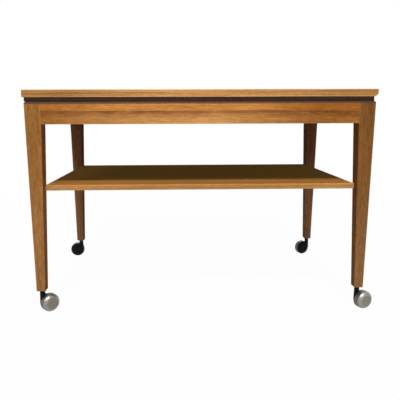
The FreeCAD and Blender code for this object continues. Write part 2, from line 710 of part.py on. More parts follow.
def stay_stud(middle):
    """Headed stud at the end of a stay's arm, which runs in the guide's slot."""
    _, arm, guide = stay_stack(middle)
    head = guide[1] + SIDE_CLEARANCE
    taper = STUD_HEAD_HEIGHT / 2
    profile = [
        (0, arm[0]),
        (PIVOT_RADIUS, arm[0]),
        (PIVOT_RADIUS, head),
        (STUD_HEAD_RADIUS, head),
        (STUD_HEAD_RADIUS, head + taper),
        (STUD_HEAD_RADIUS - taper, head + STUD_HEAD_HEIGHT),
        (0, head + STUD_HEAD_HEIGHT),
    ]
    out, up = stud_path(0.0)
    return moved(turned(profile, X_AXIS), Vector(0, JOINT_LINE + out, HINGE_AXIS_HEIGHT + up))


# ---- Castors ----------------------------------------------------------------------------
def swivel_axis(corner):
    """Foot of a castor's swivel axis on the floor."""
    depth, side = corner.split("_")
    x = FRAME_SIDE - FOOT_CENTRE
    y = FRAME_FRONT + FOOT_CENTRE if depth == "front" else FRAME_REAR - FOOT_CENTRE
    return Vector(-x if side == "left" else x, y, 0)


def at_castor(shape, corner):
    """A castor piece, turned to its castor's angle and put under its leg."""
    return moved(shape, swivel_axis(corner), CASTOR_TURN_DEG[corner])


def at_axle(shape):
    """A piece turned about Y, put at the axle of a castor that has not swivelled."""
    return moved(shape, Vector(CASTOR_TRAIL, 0, AXLE_HEIGHT))


def socket_body():
    """Outline of the sleeve in the leg with its flange under the leg."""
    low = LEG_BOTTOM - SOCKET_FLANGE_THICKNESS
    profile = [
        (0, low),
        (SOCKET_FLANGE_RADIUS, low),
        (SOCKET_FLANGE_RADIUS, LEG_BOTTOM),
        (SOCKET_RADIUS, LEG_BOTTOM),
        (SOCKET_RADIUS, LEG_BOTTOM + SOCKET_DEPTH),
        (0, LEG_BOTTOM + SOCKET_DEPTH),
    ]
    return turned(profile, Z_AXIS)


def socket_envelope(corner):
    """What a socket takes out of its leg."""
    return at_castor(socket_body(), corner)


def castor_socket():
    """Steel sleeve that a castor's stem turns in."""
    low = LEG_BOTTOM - SOCKET_FLANGE_THICKNESS
    bore = rod(SOCKET_BORE_RADIUS, Vector(0, 0, low), Z_AXIS, SOCKET_FLANGE_THICKNESS + SOCKET_DEPTH)
    return socket_body().cut(bore)


def castor_stem():
    """Steel stem, fast in the hood's column."""
    high = LEG_BOTTOM + STEM_IN_LEG
    profile = [
        (0, STEM_LOW),
        (STEM_RADIUS, STEM_LOW),
        (STEM_RADIUS, high - STEM_TIP_HEIGHT),
        (STEM_RADIUS - STEM_TIP_HEIGHT, high),
        (0, high),
    ]
    return turned(profile, Z_AXIS)


def castor_hood():
    """Black hood: a dished round plate beside the wheel, under an upright column."""
    dish_profile = [
        (0, HOOD_FRONT_Y),
        (HOOD_RADIUS, HOOD_FRONT_Y),
        (HOOD_RADIUS, HOOD_BACK_Y - HOOD_EDGE_BEVEL),
        (HOOD_RADIUS - HOOD_EDGE_BEVEL, HOOD_BACK_Y),
        (HOOD_RECESS_RADIUS, HOOD_BACK_Y),
        (HOOD_RECESS_RADIUS - HOOD_RECESS_DEPTH, HOOD_BACK_Y - HOOD_RECESS_DEPTH),
        (0, HOOD_BACK_Y - HOOD_RECESS_DEPTH),
    ]
    dish = at_axle(turned(dish_profile, Y_AXIS))
    column = rod(COLUMN_RADIUS, Vector(0, 0, AXLE_HEIGHT), Z_AXIS, COLUMN_TOP - AXLE_HEIGHT)
    shoulder = prism(
        [
            Vector(0, HOOD_FRONT_Y, AXLE_HEIGHT),
            Vector(CASTOR_TRAIL, HOOD_FRONT_Y, AXLE_HEIGHT),
            Vector(CASTOR_TRAIL, HOOD_FRONT_Y, AXLE_HEIGHT + HOOD_RADIUS - HOOD_EDGE_BEVEL),
            Vector(0, HOOD_FRONT_Y, AXLE_HEIGHT + HOOD_RADIUS + HOOD_SHOULDER_RISE),
        ],
        Y_AXIS * HOOD_THICKNESS,
    )
    sweep = rod(
        WHEEL_RADIUS + COLUMN_WHEEL_GAP,
        Vector(CASTOR_TRAIL, HOOD_FRONT_Y, AXLE_HEIGHT),
        -Y_AXIS,
        WHEEL_WIDTH + COLUMN_RADIUS,
    )
    hood = dish.fuse([column.cut(sweep), shoulder]).removeSplitter()
    stem_hole = rod(STEM_RADIUS, Vector(0, 0, STEM_LOW), Z_AXIS, COLUMN_TOP - STEM_LOW)
    axle_mouth = Vector(CASTOR_TRAIL, HOOD_FRONT_Y, AXLE_HEIGHT)
    axle_hole = rod(AXLE_RADIUS, axle_mouth, Y_AXIS, AXLE_END_Y - HOOD_FRONT_Y)
    return cut_all(hood, [stem_hole, axle_hole])


def axle_seat_y():
    """Where the axle's washer bears on the wheel's core."""
    return WHEEL_FACE_Y + SHELL_WALL + SIDE_CLEARANCE + AXLE_WASHER_THICKNESS


def castor_axle():
    """Axle, fast in the hood, with a washer that keeps the wheel on."""
    seat = axle_seat_y()
    profile = [
        (0, AXLE_END_Y),
        (AXLE_RADIUS, AXLE_END_Y),
        (AXLE_RADIUS, seat),
        (AXLE_WASHER_RADIUS, seat),
        (AXLE_WASHER_RADIUS, seat - AXLE_WASHER_THICKNESS),
        (0, seat - AXLE_WASHER_THICKNESS),
    ]
    return at_axle(turned(profile, Y_AXIS))


def cup_body(inset):
    """Outside of the wheel's metal cup, or its inside when inset by the wall."""
    face = WHEEL_FACE_Y + inset
    body = rod(WHEEL_RADIUS - inset, Vector(0, face, 0), Y_AXIS, WHEEL_BACK_Y - face)
    return body.makeFillet(WHEEL_SHOULDER_RADIUS - inset, edges_at(body, y=face))


def wheel_shell():
    """Nickel-plated cup that forms the wheel's tread and face."""
    return at_axle(cup_body(0.0).cut(cup_body(SHELL_WALL)))


def wheel_core():
    """Nylon core inside the cup, bored for the axle and counterbored for its washer."""
    inner_face = Vector(0, WHEEL_FACE_Y + SHELL_WALL, 0)
    room_depth = SIDE_CLEARANCE + AXLE_WASHER_THICKNESS + SIDE_CLEARANCE
    washer_room = rod(AXLE_WASHER_RADIUS + SIDE_CLEARANCE, inner_face, Y_AXIS, room_depth)
    bore = rod(WHEEL_BORE_RADIUS, inner_face, Y_AXIS, WHEEL_BACK_Y - inner_face.y)
    return at_axle(cut_all(cup_body(SHELL_WALL), [washer_room, bore]))


# ---- Assembly ---------------------------------------------------------------------------
def build_boards(nodes):
    """Top and leaf, recessed for the hinges, and the top drilled for its screws."""
    top = board(TOP_FRONT, JOINT_LINE - LEAF_JOINT_GAP / 2, True)
    leaf = board(JOINT_LINE + LEAF_JOINT_GAP / 2, LEAF_REAR, False)
    top_cuts = four_corners(top_screw()) + [hinge_pocket(x, False) for x in hinge_middles()]
    leaf_cuts = [hinge_pocket(x, True) for x in hinge_middles()]
    for name, shape in top.items():
        nodes["top_" + name] = cut_all(shape, top_cuts)
    for name, shape in leaf.items():
        nodes["leaf_" + name] = cut_all(shape, leaf_cuts)


def build_frame(nodes):
    """Legs, aprons, spacers, corner blocks with their screws, and shelf."""
    front = apron_front()
    right = apron_right()
    front_right = cut_all(leg_front_right(), [front, right])
    rear_right = mirror_frame_depth(front_right)
    nodes["leg_front_left"] = mirror_x(front_right)
    nodes["leg_front_right"] = front_right
    nodes["leg_rear_left"] = mirror_x(rear_right)
    nodes["leg_rear_right"] = rear_right
    nodes["apron_front"] = front
    nodes["apron_rear"] = mirror_frame_depth(front)
    nodes["apron_left"] = mirror_x(right)
    nodes["apron_right"] = right
    nodes.update(spacers())
    screw = top_screw()
    nodes["corner_blocks"] = Part.makeCompound(four_corners(corner_block().cut(screw)))
    nodes["top_screws"] = Part.makeCompound(four_corners(screw))
    nodes.update(shelf())


def build_hinges(nodes):
    """Three hinges between the top and the leaf."""
    nodes["hinge_plates_top"] = Part.makeCompound([hinge_plate(x, False) for x in hinge_middles()])
    nodes["hinge_plates_leaf"] = Part.makeCompound([hinge_plate(x, True) for x in hinge_middles()])
    nodes["hinge_pins"] = Part.makeCompound([hinge_pin(x) for x in hinge_middles()])


def stay_middles():
    """Place along X of each stay, by its side."""
    return {"left": -STAY_SPACING / 2, "right": STAY_SPACING / 2}


def build_stays(nodes):
    """Two stays that hold the leaf up: bracket, arm, rivet, stud and guide."""
    middles = stay_middles()
    for side, middle in middles.items():
        nodes["stay_" + side + "_arm"] = stay_arm(middle)
        nodes["stay_" + side + "_stud"] = stay_stud(middle)
    rivets = {x: stay_rivet(x) for x in middles.values()}
    nodes["stay_brackets"] = Part.makeCompound([stay_bracket(x).cut(rivet) for x, rivet in rivets.items()])
    nodes["stay_rivets"] = Part.makeCompound(list(rivets.values()))
    nodes["stay_guides"] = Part.makeCompound([stay_guide(x) for x in middles.values()])


def build_castors(nodes):
    """Four castors; only the angle at which each stands differs."""
    sockets = []
    for corner in CASTOR_TURN_DEG:
        name = "castor_" + corner + "_"
        sockets.append(at_castor(castor_socket(), corner))
        nodes[name + "stem"] = at_castor(castor_stem(), corner)
        nodes[name + "hood"] = at_castor(castor_hood(), corner)
        nodes[name + "axle"] = at_castor(castor_axle(), corner)
        nodes[name + "wheel_core"] = at_castor(wheel_core(), corner)
        nodes[name + "wheel_shell"] = at_castor(wheel_shell(), corner)
    nodes["castor_sockets"] = Part.makeCompound(sockets)


def build():
    """Every node of the trolley by name."""
    nodes = {}
    build_boards(nodes)
    build_frame(nodes)
    build_hinges(nodes)
    build_stays(nodes)
    build_castors(nodes)
    return nodes


def main():
    """Write one STEP file for each node."""
    os.makedirs("parts", exist_ok=True)
    nodes = build()
    for name, shape in nodes.items():
        shape.exportStep("parts/" + name + ".step")
    print(len(nodes), "nodes written")
    print("stay ratio", round(STAY_RATIO, 6), "stay rise", round(STAY_RISE_DEG, 3))


if __name__ == "__main__":
    main()
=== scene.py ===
"""Looks of the drop leaf tea trolley: its finishes, castors and small screws, and the studio.

Lengths are metres, in the trolley's own frame: +X along its length, +Y from front to rear, +Z up,
with the origin on the floor under the middle of the top and its raised leaf.
"""
from __future__ import annotations

import json
import logging
import math
from dataclasses import dataclass, field, replace
from enum import Enum
from typing import Sequence, Union

import bmesh
import bpy
from mathutils import Matrix, Vector


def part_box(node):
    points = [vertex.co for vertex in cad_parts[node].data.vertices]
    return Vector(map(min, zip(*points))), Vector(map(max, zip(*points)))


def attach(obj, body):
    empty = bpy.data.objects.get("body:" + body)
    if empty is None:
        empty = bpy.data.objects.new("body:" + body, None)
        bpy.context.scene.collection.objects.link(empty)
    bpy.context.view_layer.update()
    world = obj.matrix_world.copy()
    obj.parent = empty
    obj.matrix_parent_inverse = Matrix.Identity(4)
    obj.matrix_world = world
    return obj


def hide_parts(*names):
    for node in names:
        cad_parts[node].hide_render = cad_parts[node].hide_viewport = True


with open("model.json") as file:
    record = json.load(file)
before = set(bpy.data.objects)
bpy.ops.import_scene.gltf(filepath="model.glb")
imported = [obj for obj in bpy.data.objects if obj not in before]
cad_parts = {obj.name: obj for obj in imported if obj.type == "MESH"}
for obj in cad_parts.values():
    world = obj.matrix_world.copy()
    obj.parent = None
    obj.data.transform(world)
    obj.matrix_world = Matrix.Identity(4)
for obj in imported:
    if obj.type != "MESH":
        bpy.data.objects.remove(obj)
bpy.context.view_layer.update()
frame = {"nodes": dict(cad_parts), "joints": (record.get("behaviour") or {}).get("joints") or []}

LOG = logging.getLogger("trolley")

Form = bmesh.types.BMesh
Material = bpy.types.Material
Node = bpy.types.Node
Nodes = bpy.types.NodeTree
Piece = bpy.types.Object
Socket = bpy.types.NodeSocket

Colour = tuple[float, float, float]
Pair = tuple[float, float]
Number = Union[float, Socket]
Vectorish = Union[Sequence[float], Socket]
Pairs = tuple[Pair, ...]
Spot = tuple[Vector, Vector, float]

MM = 0.001
RIGHT = Vector((1.0, 0.0, 0.0))
REAR = Vector((0.0, 1.0, 0.0))
UP = Vector((0.0, 0.0, 1.0))

# Lower edge of the bevel that runs round the top of the frame; the bevel is painted dark as shade
# from the top's overhang.
BEVEL_LOW = 524.5 * MM

NONE = (0.0, 0.0, 0.0)
ALL = (1.0, 1.0, 1.0)

# Spans of noise: where most of it lies, and where it turns into flecks, pores, smears and so on.
MOST = (0.3, 0.7)
FLECK_SPAN = (0.25, 0.75)
PORE_SPAN = (0.62, 0.7)
SMEAR_SPAN = (0.35, 0.7)
SCRATCH_SPAN = (0.58, 0.66)
STAIN_SPAN = (0.45, 0.75)

# Scratches' cells per metre, a scratch's width in cells, and where the rubbing of an edge fades.
SCRATCH_CELLS = 26.0
SCRATCH_WIDTH = 0.012
RUB_FADE = (0.2, 1.0)

# Cells of each timber pattern per metre, along the grain and across it.
BEND_CELLS = (2.2, 9.0, 1.0)
STREAK_CELLS = (7.0, 520.0, 520.0)
FLECK_CELLS = (60.0, 310.0, 310.0)
PORE_CELLS = (95.0, 1900.0, 1900.0)
CLOUD_CELLS = (5.0, 26.0, 26.0)
BEND_GAIN = 4.0

# A growth ring: how its width varies, where it deepens and ends, and how faint it may be.
RING_PLAY = 2.4
RING_PLAY_RATE = 0.45
RING_DEEPENS = (0.15, 0.86)
RING_ENDS = (0.9, 1.0)
FAINTEST_RING = 0.25


# ---- Node trees ---------------------------------------------------------------------------
class Grain(Enum):
    """The row axis that a piece's grain runs along."""

    ALONG_X = "x"
    ALONG_Y = "y"
    ALONG_Z = "z"


class Tree:
    """Short calls that add nodes to one node tree and join them."""

    # Places of the Mix node's sockets when it mixes colours.
    MIX_SHARE, MIX_FIRST, MIX_SECOND, MIX_RESULT = 0, 6, 7, 2

    def __init__(self, tree: Nodes) -> None:
        """Keep the material's or group's node tree that the calls add to."""
        self.tree = tree

    def add(self, kind: str, **settings: object) -> Node:
        """Add one node.

        Args:
            kind: The node's Blender type, without its ShaderNode prefix.
            settings: Properties to set on it.

        Returns:
            The new node.
        """
        node = self.tree.nodes.new("ShaderNode" + kind)
        for name, value in settings.items():
            setattr(node, name, value)
        return node

    def feed(self, socket: Socket, value: object) -> None:
        """Join a socket to another node's output, or set its number.

        Args:
            socket: The input to feed.
            value: An output socket, a number, a colour or a vector.
        """
        if isinstance(value, Socket):
            self.tree.links.new(value, socket)
        elif isinstance(socket, bpy.types.NodeSocketColor):
            socket.default_value = (*value, 1.0)
        else:
            socket.default_value = value

    def math(self, operation: str, *values: Number, clamp: bool = False) -> Socket:
        """One step of arithmetic.

        Args:
            operation: Blender's name for it.
            values: Its inputs, in order.
            clamp: Whether the result is held between 0 and 1.

        Returns:
            The result.
        """
        node = self.add("Math", operation=operation, use_clamp=clamp)
        for socket, value in zip(node.inputs, values):
            self.feed(socket, value)
        return node.outputs[0]

    def fold(self, operation: str, first: Number, *others: Number) -> Socket:
        """Carry one operation through several numbers, from left to right.

        Args:
            operation: Blender's name for it.
            first: The number to start from.
            others: What is added to it, taken from it and so on.

        Returns:
            The result.
        """
        for other in others:
            first = self.math(operation, first, other)
        return first

    def vector(self, operation: str, *values: Vectorish) -> Socket:
        """One step of vector arithmetic whose result is a vector.

        Args:
            operation: Blender's name for it.
            values: Its inputs, in order.

        Returns:
            The result.
        """
        node = self.add("VectorMath", operation=operation)
        for socket, value in zip(node.inputs, values):
            self.feed(socket, value)
        return node.outputs[0]

    def measure(self, operation: str, *values: Vectorish) -> Socket:
        """One step of vector arithmetic whose result is a number."""
        return self.vector(operation, *values).node.outputs["Value"]

    def scaled(self, vector: Vectorish, factor: Number) -> Socket:
        """A vector or colour, times a number."""
        result = self.vector("SCALE", vector)
        self.feed(result.node.inputs["Scale"], factor)
        return result

    def split(self, vector: Vectorish) -> tuple[Socket, ...]:
        """The X, Y and Z of a vector."""
        node = self.add("SeparateXYZ")
        self.feed(node.inputs[0], vector)
        return tuple(node.outputs)

    def join(self, x: Number, y: Number, z: Number) -> Socket:
        """A vector from its three parts.

        Args:
            x: Its X.
            y: Its Y.
            z: Its Z.

        Returns:
            The vector.
        """
        node = self.add("CombineXYZ")
        for socket, value in zip(node.inputs, (x, y, z)):
            self.feed(socket, value)
        return node.outputs[0]

    def noise(
        self, vector: Vectorish, scale: Number = 1.0, detail: float = 3.0, rough: float = 0.5
    ) -> Socket:
        """Smooth noise between 0 and 1.

        Args:
            vector: Where it is read.
            scale: How fine it is.
            detail: How many finer layers it has.
            rough: How strong the finer layers are.

        Returns:
            Its value.
        """
        node = self.add("TexNoise")
        self.feed(node.inputs["Vector"], vector)
        self.feed(node.inputs["Scale"], scale)
        self.feed(node.inputs["Detail"], detail)
        self.feed(node.inputs["Roughness"], rough)
        return node.outputs[0]

    def between(
        self, value: Number, low: float, high: float, to_low: float = 0.0, to_high: float = 1.0
    ) -> Socket:
        """Map a span to another, smoothly and held at both ends.

        Args:
            value: What is mapped.
            low: Start of the span.
            high: End of the span.
            to_low: What the start becomes.
            to_high: What the end becomes.

        Returns:
            The mapped value.
        """
        node = self.add("MapRange", interpolation_type="SMOOTHSTEP")
        for socket, number in zip(node.inputs, (value, low, high, to_low, to_high)):
            self.feed(socket, number)
        return node.outputs[0]

    def blend(self, share: Number, first: object, second: object, how: str = "MIX") -> Socket:
        """Mix two colours.

        Args:
            share: How much of the second shows, from 0 to 1.
            first: The colour underneath.
            second: The colour on top.
            how: Blender's blend type.

        Returns:
            The mixed colour.
        """
        node = self.add("Mix", data_type="RGBA", blend_type=how, clamp_factor=True)
        self.feed(node.inputs[self.MIX_SHARE], share)
        self.feed(node.inputs[self.MIX_FIRST], first)
        self.feed(node.inputs[self.MIX_SECOND], second)
        return node.outputs[self.MIX_RESULT]

    def plus(self, value: Number, mask: Number, share: float) -> Socket:
        """A number, plus a share of a mask."""
        return self.math("ADD", value, self.math("MULTIPLY", mask, share))

    def lay(self, mask: Number, share: float, under: object, over: object) -> Socket:
        """Lay a colour over another where a mask shows, so that a share of it covers there."""
        return self.blend(self.math("MULTIPLY", mask, share), under, over)

    def group(self, group: Nodes, **values: object) -> Node:
        """Place a shared node group.

        Args:
            group: The group.
            values: Its inputs by name, with _ for a space.

        Returns:
            The group's node.
        """
        node = self.add("Group", node_tree=group)
        for name, value in values.items():
            self.feed(node.inputs[name.replace("_", " ")], value)
        return node


class Pattern:
    """A shader node group that is being built, with named inputs and outputs."""

    KINDS = {float: "NodeSocketFloat", tuple: "NodeSocketVector"}

    def __init__(self, name: str, inputs: dict[str, object], outputs: Sequence[str]) -> None:
        """Make the group and its sockets.

        Args:
            name: The group's name.
            inputs: Default value of each input, by name.
            outputs: Names of the outputs, which are all numbers.
        """
        self.group = bpy.data.node_groups.new(name, "ShaderNodeTree")
        for label, value in inputs.items():
            kind = self.KINDS[type(value)]
            socket = self.group.interface.new_socket(label, in_out="INPUT", socket_type=kind)
            socket.default_value = value
        for label in outputs:
            self.group.interface.new_socket(label, in_out="OUTPUT", socket_type="NodeSocketFloat")
        self.tree = Tree(self.group)
        self.inputs = self.group.nodes.new("NodeGroupInput").outputs
        self.outputs = self.group.nodes.new("NodeGroupOutput").inputs

    def give(self, **results: Socket) -> Nodes:
        """Join the results to the outputs.

        Args:
            results: Output sockets by the group output's name.

        Returns:
            The finished group.
        """
        for label, socket in results.items():
            self.tree.feed(self.outputs[label], socket)
        return self.group


class Patterns:
    """The node groups that several finishes share."""

    def __init__(self) -> None:
        """Build each group once."""
        self.timber = self._timber()
        self.rubbed_edge = self._rubbed_edge()
        self.handling = self._handling()
        self.spun = self._spun()

    @staticmethod
    def _timber() -> Nodes:
        """Growth rings, streaks, flecks and pores of a piece of timber whose grain runs along X.

        Returns:
            The group.
        """
        pattern = Pattern(
            "Timber figure",
            {
                "Vector": NONE,
                "Ring Width": 0.006,
                "Heart Y": 0.05,
                "Heart Z": 0.1,
                "Lean": 0.03,
                "Wander": 0.006,
            },
            ("Rings", "Streaks", "Flecks", "Pores", "Clouds"),
        )
        tree, given = pattern.tree, pattern.inputs
        place = given["Vector"]
        along, across, deep = tree.split(place)
        bend = tree.noise(tree.vector("MULTIPLY", place, BEND_CELLS), detail=2.0)
        bend = tree.math("SUBTRACT", bend, 0.5)
        bend = tree.math("MULTIPLY", bend, tree.math("MULTIPLY", given["Wander"], BEND_GAIN))
        tilt = tree.math("MULTIPLY", along, given["Lean"])
        side = tree.math("SUBTRACT", across, given["Heart Y"])
        side = tree.math("ADD", side, tree.math("ADD", tilt, bend))
        back = tree.math("ADD", tree.math("SUBTRACT", deep, given["Heart Z"]), bend)
        square = tree.math("ADD", tree.math("POWER", side, 2.0), tree.math("POWER", back, 2.0))
        count = tree.math("DIVIDE", tree.math("SQRT", square), given["Ring Width"])
        uneven = tree.join(tree.math("MULTIPLY", count, RING_PLAY_RATE), 0.0, 0.0)
        uneven = tree.math("MULTIPLY", tree.noise(uneven, detail=2.0), RING_PLAY)
        count = tree.math("ADD", count, uneven)
        phase = tree.math("FRACT", count)
        deepens = tree.between(phase, *RING_DEEPENS)
        ends = tree.between(phase, *RING_ENDS, 1.0, 0.0)
        chance = tree.noise(tree.join(0.0, tree.math("FLOOR", count), 0.0), scale=0.73, detail=0.0)
        strength = tree.between(chance, *MOST, FAINTEST_RING, 1.0)
        rings = tree.fold("MULTIPLY", deepens, ends, strength)
        streaks = tree.noise(tree.vector("MULTIPLY", place, STREAK_CELLS), rough=0.6)
        flecks = tree.noise(tree.vector("MULTIPLY", place, FLECK_CELLS), rough=0.7)
        pores = tree.noise(tree.vector("MULTIPLY", place, PORE_CELLS), detail=1.0)
        pores = tree.between(pores, *PORE_SPAN)
        clouds = tree.noise(tree.vector("MULTIPLY", place, CLOUD_CELLS))
        return pattern.give(Rings=rings, Streaks=streaks, Flecks=flecks, Pores=pores, Clouds=clouds)

    @staticmethod
    def _rubbed_edge() -> Nodes:
        """Where the outer edges of a box-shaped piece are rubbed paler by handling.

        Returns:
            The group.
        """
        pattern = Pattern(
            "Rubbed edge",
            {"Vector": NONE, "Middle": NONE, "Half": ALL, "Width": 0.003},
            ("Mask",),
        )
        tree = pattern.tree
        place = tree.vector("SUBTRACT", pattern.inputs["Vector"], pattern.inputs["Middle"])
        inward = tree.vector("SUBTRACT", pattern.inputs["Half"], tree.vector("ABSOLUTE", place))
        x, y, z = tree.split(inward)
        least = tree.fold("MINIMUM", x, y, z)
        most = tree.fold("MAXIMUM", x, y, z)
        second = tree.fold("SUBTRACT", tree.fold("ADD", x, y, z), least, most)
        ragged = tree.noise(pattern.inputs["Vector"], scale=70.0, rough=0.65)
        reach = tree.math("MULTIPLY", pattern.inputs["Width"], tree.math("MULTIPLY", ragged, 2.0))
        share = tree.math("DIVIDE", second, reach)
        return pattern.give(Mask=tree.between(share, *RUB_FADE, 1.0, 0.0))

    @staticmethod
    def _handling() -> Nodes:
        """Faint smears and small marks from use.

        Returns:
            The group.
        """
        pattern = Pattern("Handling marks", {"Vector": NONE, "Scale": 14.0}, ("Smears", "Marks"))
        tree = pattern.tree
        place = pattern.inputs["Vector"]
        smears = tree.noise(place, scale=pattern.inputs["Scale"], detail=4.0, rough=0.6)
        smears = tree.between(smears, *SMEAR_SPAN)
        scratch = tree.add("TexVoronoi", feature="DISTANCE_TO_EDGE")
        skew = tree.noise(place, scale=9.0, detail=1.0)
        tree.feed(scratch.inputs["Vector"], tree.vector("ADD", place, tree.join(skew, 0.0, 0.0)))
        tree.feed(scratch.inputs["Scale"], SCRATCH_CELLS)
        line = tree.between(scratch.outputs[0], 0.0, SCRATCH_WIDTH, 1.0, 0.0)
        here = tree.between(tree.noise(place, scale=31.0, detail=1.0), *SCRATCH_SPAN)
        return pattern.give(Smears=smears, Marks=tree.math("MULTIPLY", line, here))

    @staticmethod
    def _spun() -> Nodes:
        """Fine rings left on turned metal, about a piece's own axis.

        Returns:
            The group.
        """
        pattern = Pattern(
            "Spun marks",
            {"Vector": NONE, "Centre": NONE, "Axis": (0.0, 1.0, 0.0), "Fineness": 2600.0},
            ("Rings",),
        )
        tree = pattern.tree
        place = tree.vector("SUBTRACT", pattern.inputs["Vector"], pattern.inputs["Centre"])
        axis, fineness = pattern.inputs["Axis"], pattern.inputs["Fineness"]
        along = tree.math("MULTIPLY", tree.measure("DOT_PRODUCT", place, axis), fineness)
        out = tree.measure("LENGTH", tree.vector("CROSS_PRODUCT", place, axis))
        out = tree.math("MULTIPLY", out, fineness)
        return pattern.give(Rings=tree.noise(tree.join(out, along, 0.0), detail=2.0, rough=0.7))


# ---- Finishes -----------------------------------------------------------------------------
@dataclass(frozen=True)
class Finish:
    """What every finish can do: start a material and put it on objects."""

    name: str

    def start(self) -> tuple[Material, Tree, Node, Socket]:
        """Make an empty Principled material.

        Returns:
            The material, its tree, its shader and its Object coordinates.
        """
        material = bpy.data.materials.new(self.name)
        material.use_nodes = True
        tree = Tree(material.node_tree)
        shader = material.node_tree.nodes["Principled BSDF"]
        place = tree.add("TexCoord").outputs["Object"]
        return material, tree, shader, place

    @staticmethod
    def fix(shader: Node, **levels: object) -> None:
        """Set inputs that are alike all over the surface, by name, with _ for a space."""
        for name, level in levels.items():
            shader.inputs[name.replace("_", " ")].default_value = level

    @staticmethod
    def relieve(
        tree: Tree, shader: Node, height: Socket, strength: float, distance: float
    ) -> None:
        """Give the surface its relief.

        Args:
            tree: The material's tree.
            shader: Its shader.
            height: How high the surface stands, from 0 to 1.
            strength: How much of the relief shows.
            distance: What a height of 1 measures.
        """
        bump = tree.add("Bump")
        bump.inputs["Strength"].default_value = strength
        bump.inputs["Distance"].default_value = distance
        tree.feed(bump.inputs["Height"], height)
        tree.feed(shader.inputs["Normal"], bump.outputs["Normal"])


@dataclass(frozen=True)
class Band:
    """One wide growth band of a board: a dark latewood line at a level and duller wood below."""

    level: float
    reach: float = 19.0 * MM
    drift: float = 5.0 * MM
    drift_cells: float = 4.2
    line_edge: float = 0.9 * MM
    line_depth: float = 1.0 * MM
    patch_cells: tuple[float, float, float] = (17.0, 0.0, 70.0)
    patch_span: Pair = (0.32, 0.66)
    line: Colour = (0.48, 0.43, 0.62)
    dull_and_shade_tone: Colour = (0.89, 0.98, 1.22)

    def tint(self, tree: Tree, place: Socket, colour: Socket) -> Socket:
        """Lay the band over a board's colour.

        Args:
            tree: The material's tree.
            place: Object coordinates.
            colour: The board's colour.

        Returns:
            The colour with the band.
        """
        x, _, z = tree.split(place)
        drift = tree.noise(tree.join(x, 0.0, 0.0), scale=self.drift_cells, detail=2.0)
        drift = tree.math("MULTIPLY", drift, self.drift)
        depth = tree.fold("SUBTRACT", self.level + self.drift / 2, z, drift)
        patch = tree.noise(tree.vector("MULTIPLY", place, self.patch_cells), detail=2.0)
        patch = tree.between(patch, *self.patch_span, 0.5, 1.0)
        fade = tree.between(depth, self.line_depth, self.reach, 1.0, 0.0)
        tone = tree.blend(tree.math("MULTIPLY", fade, patch), self.dull_and_shade_tone, self.line)
        tone = tree.blend(tree.between(depth, -self.line_edge, self.line_edge), ALL, tone)
        return tree.blend(1.0, colour, tone, "MULTIPLY")


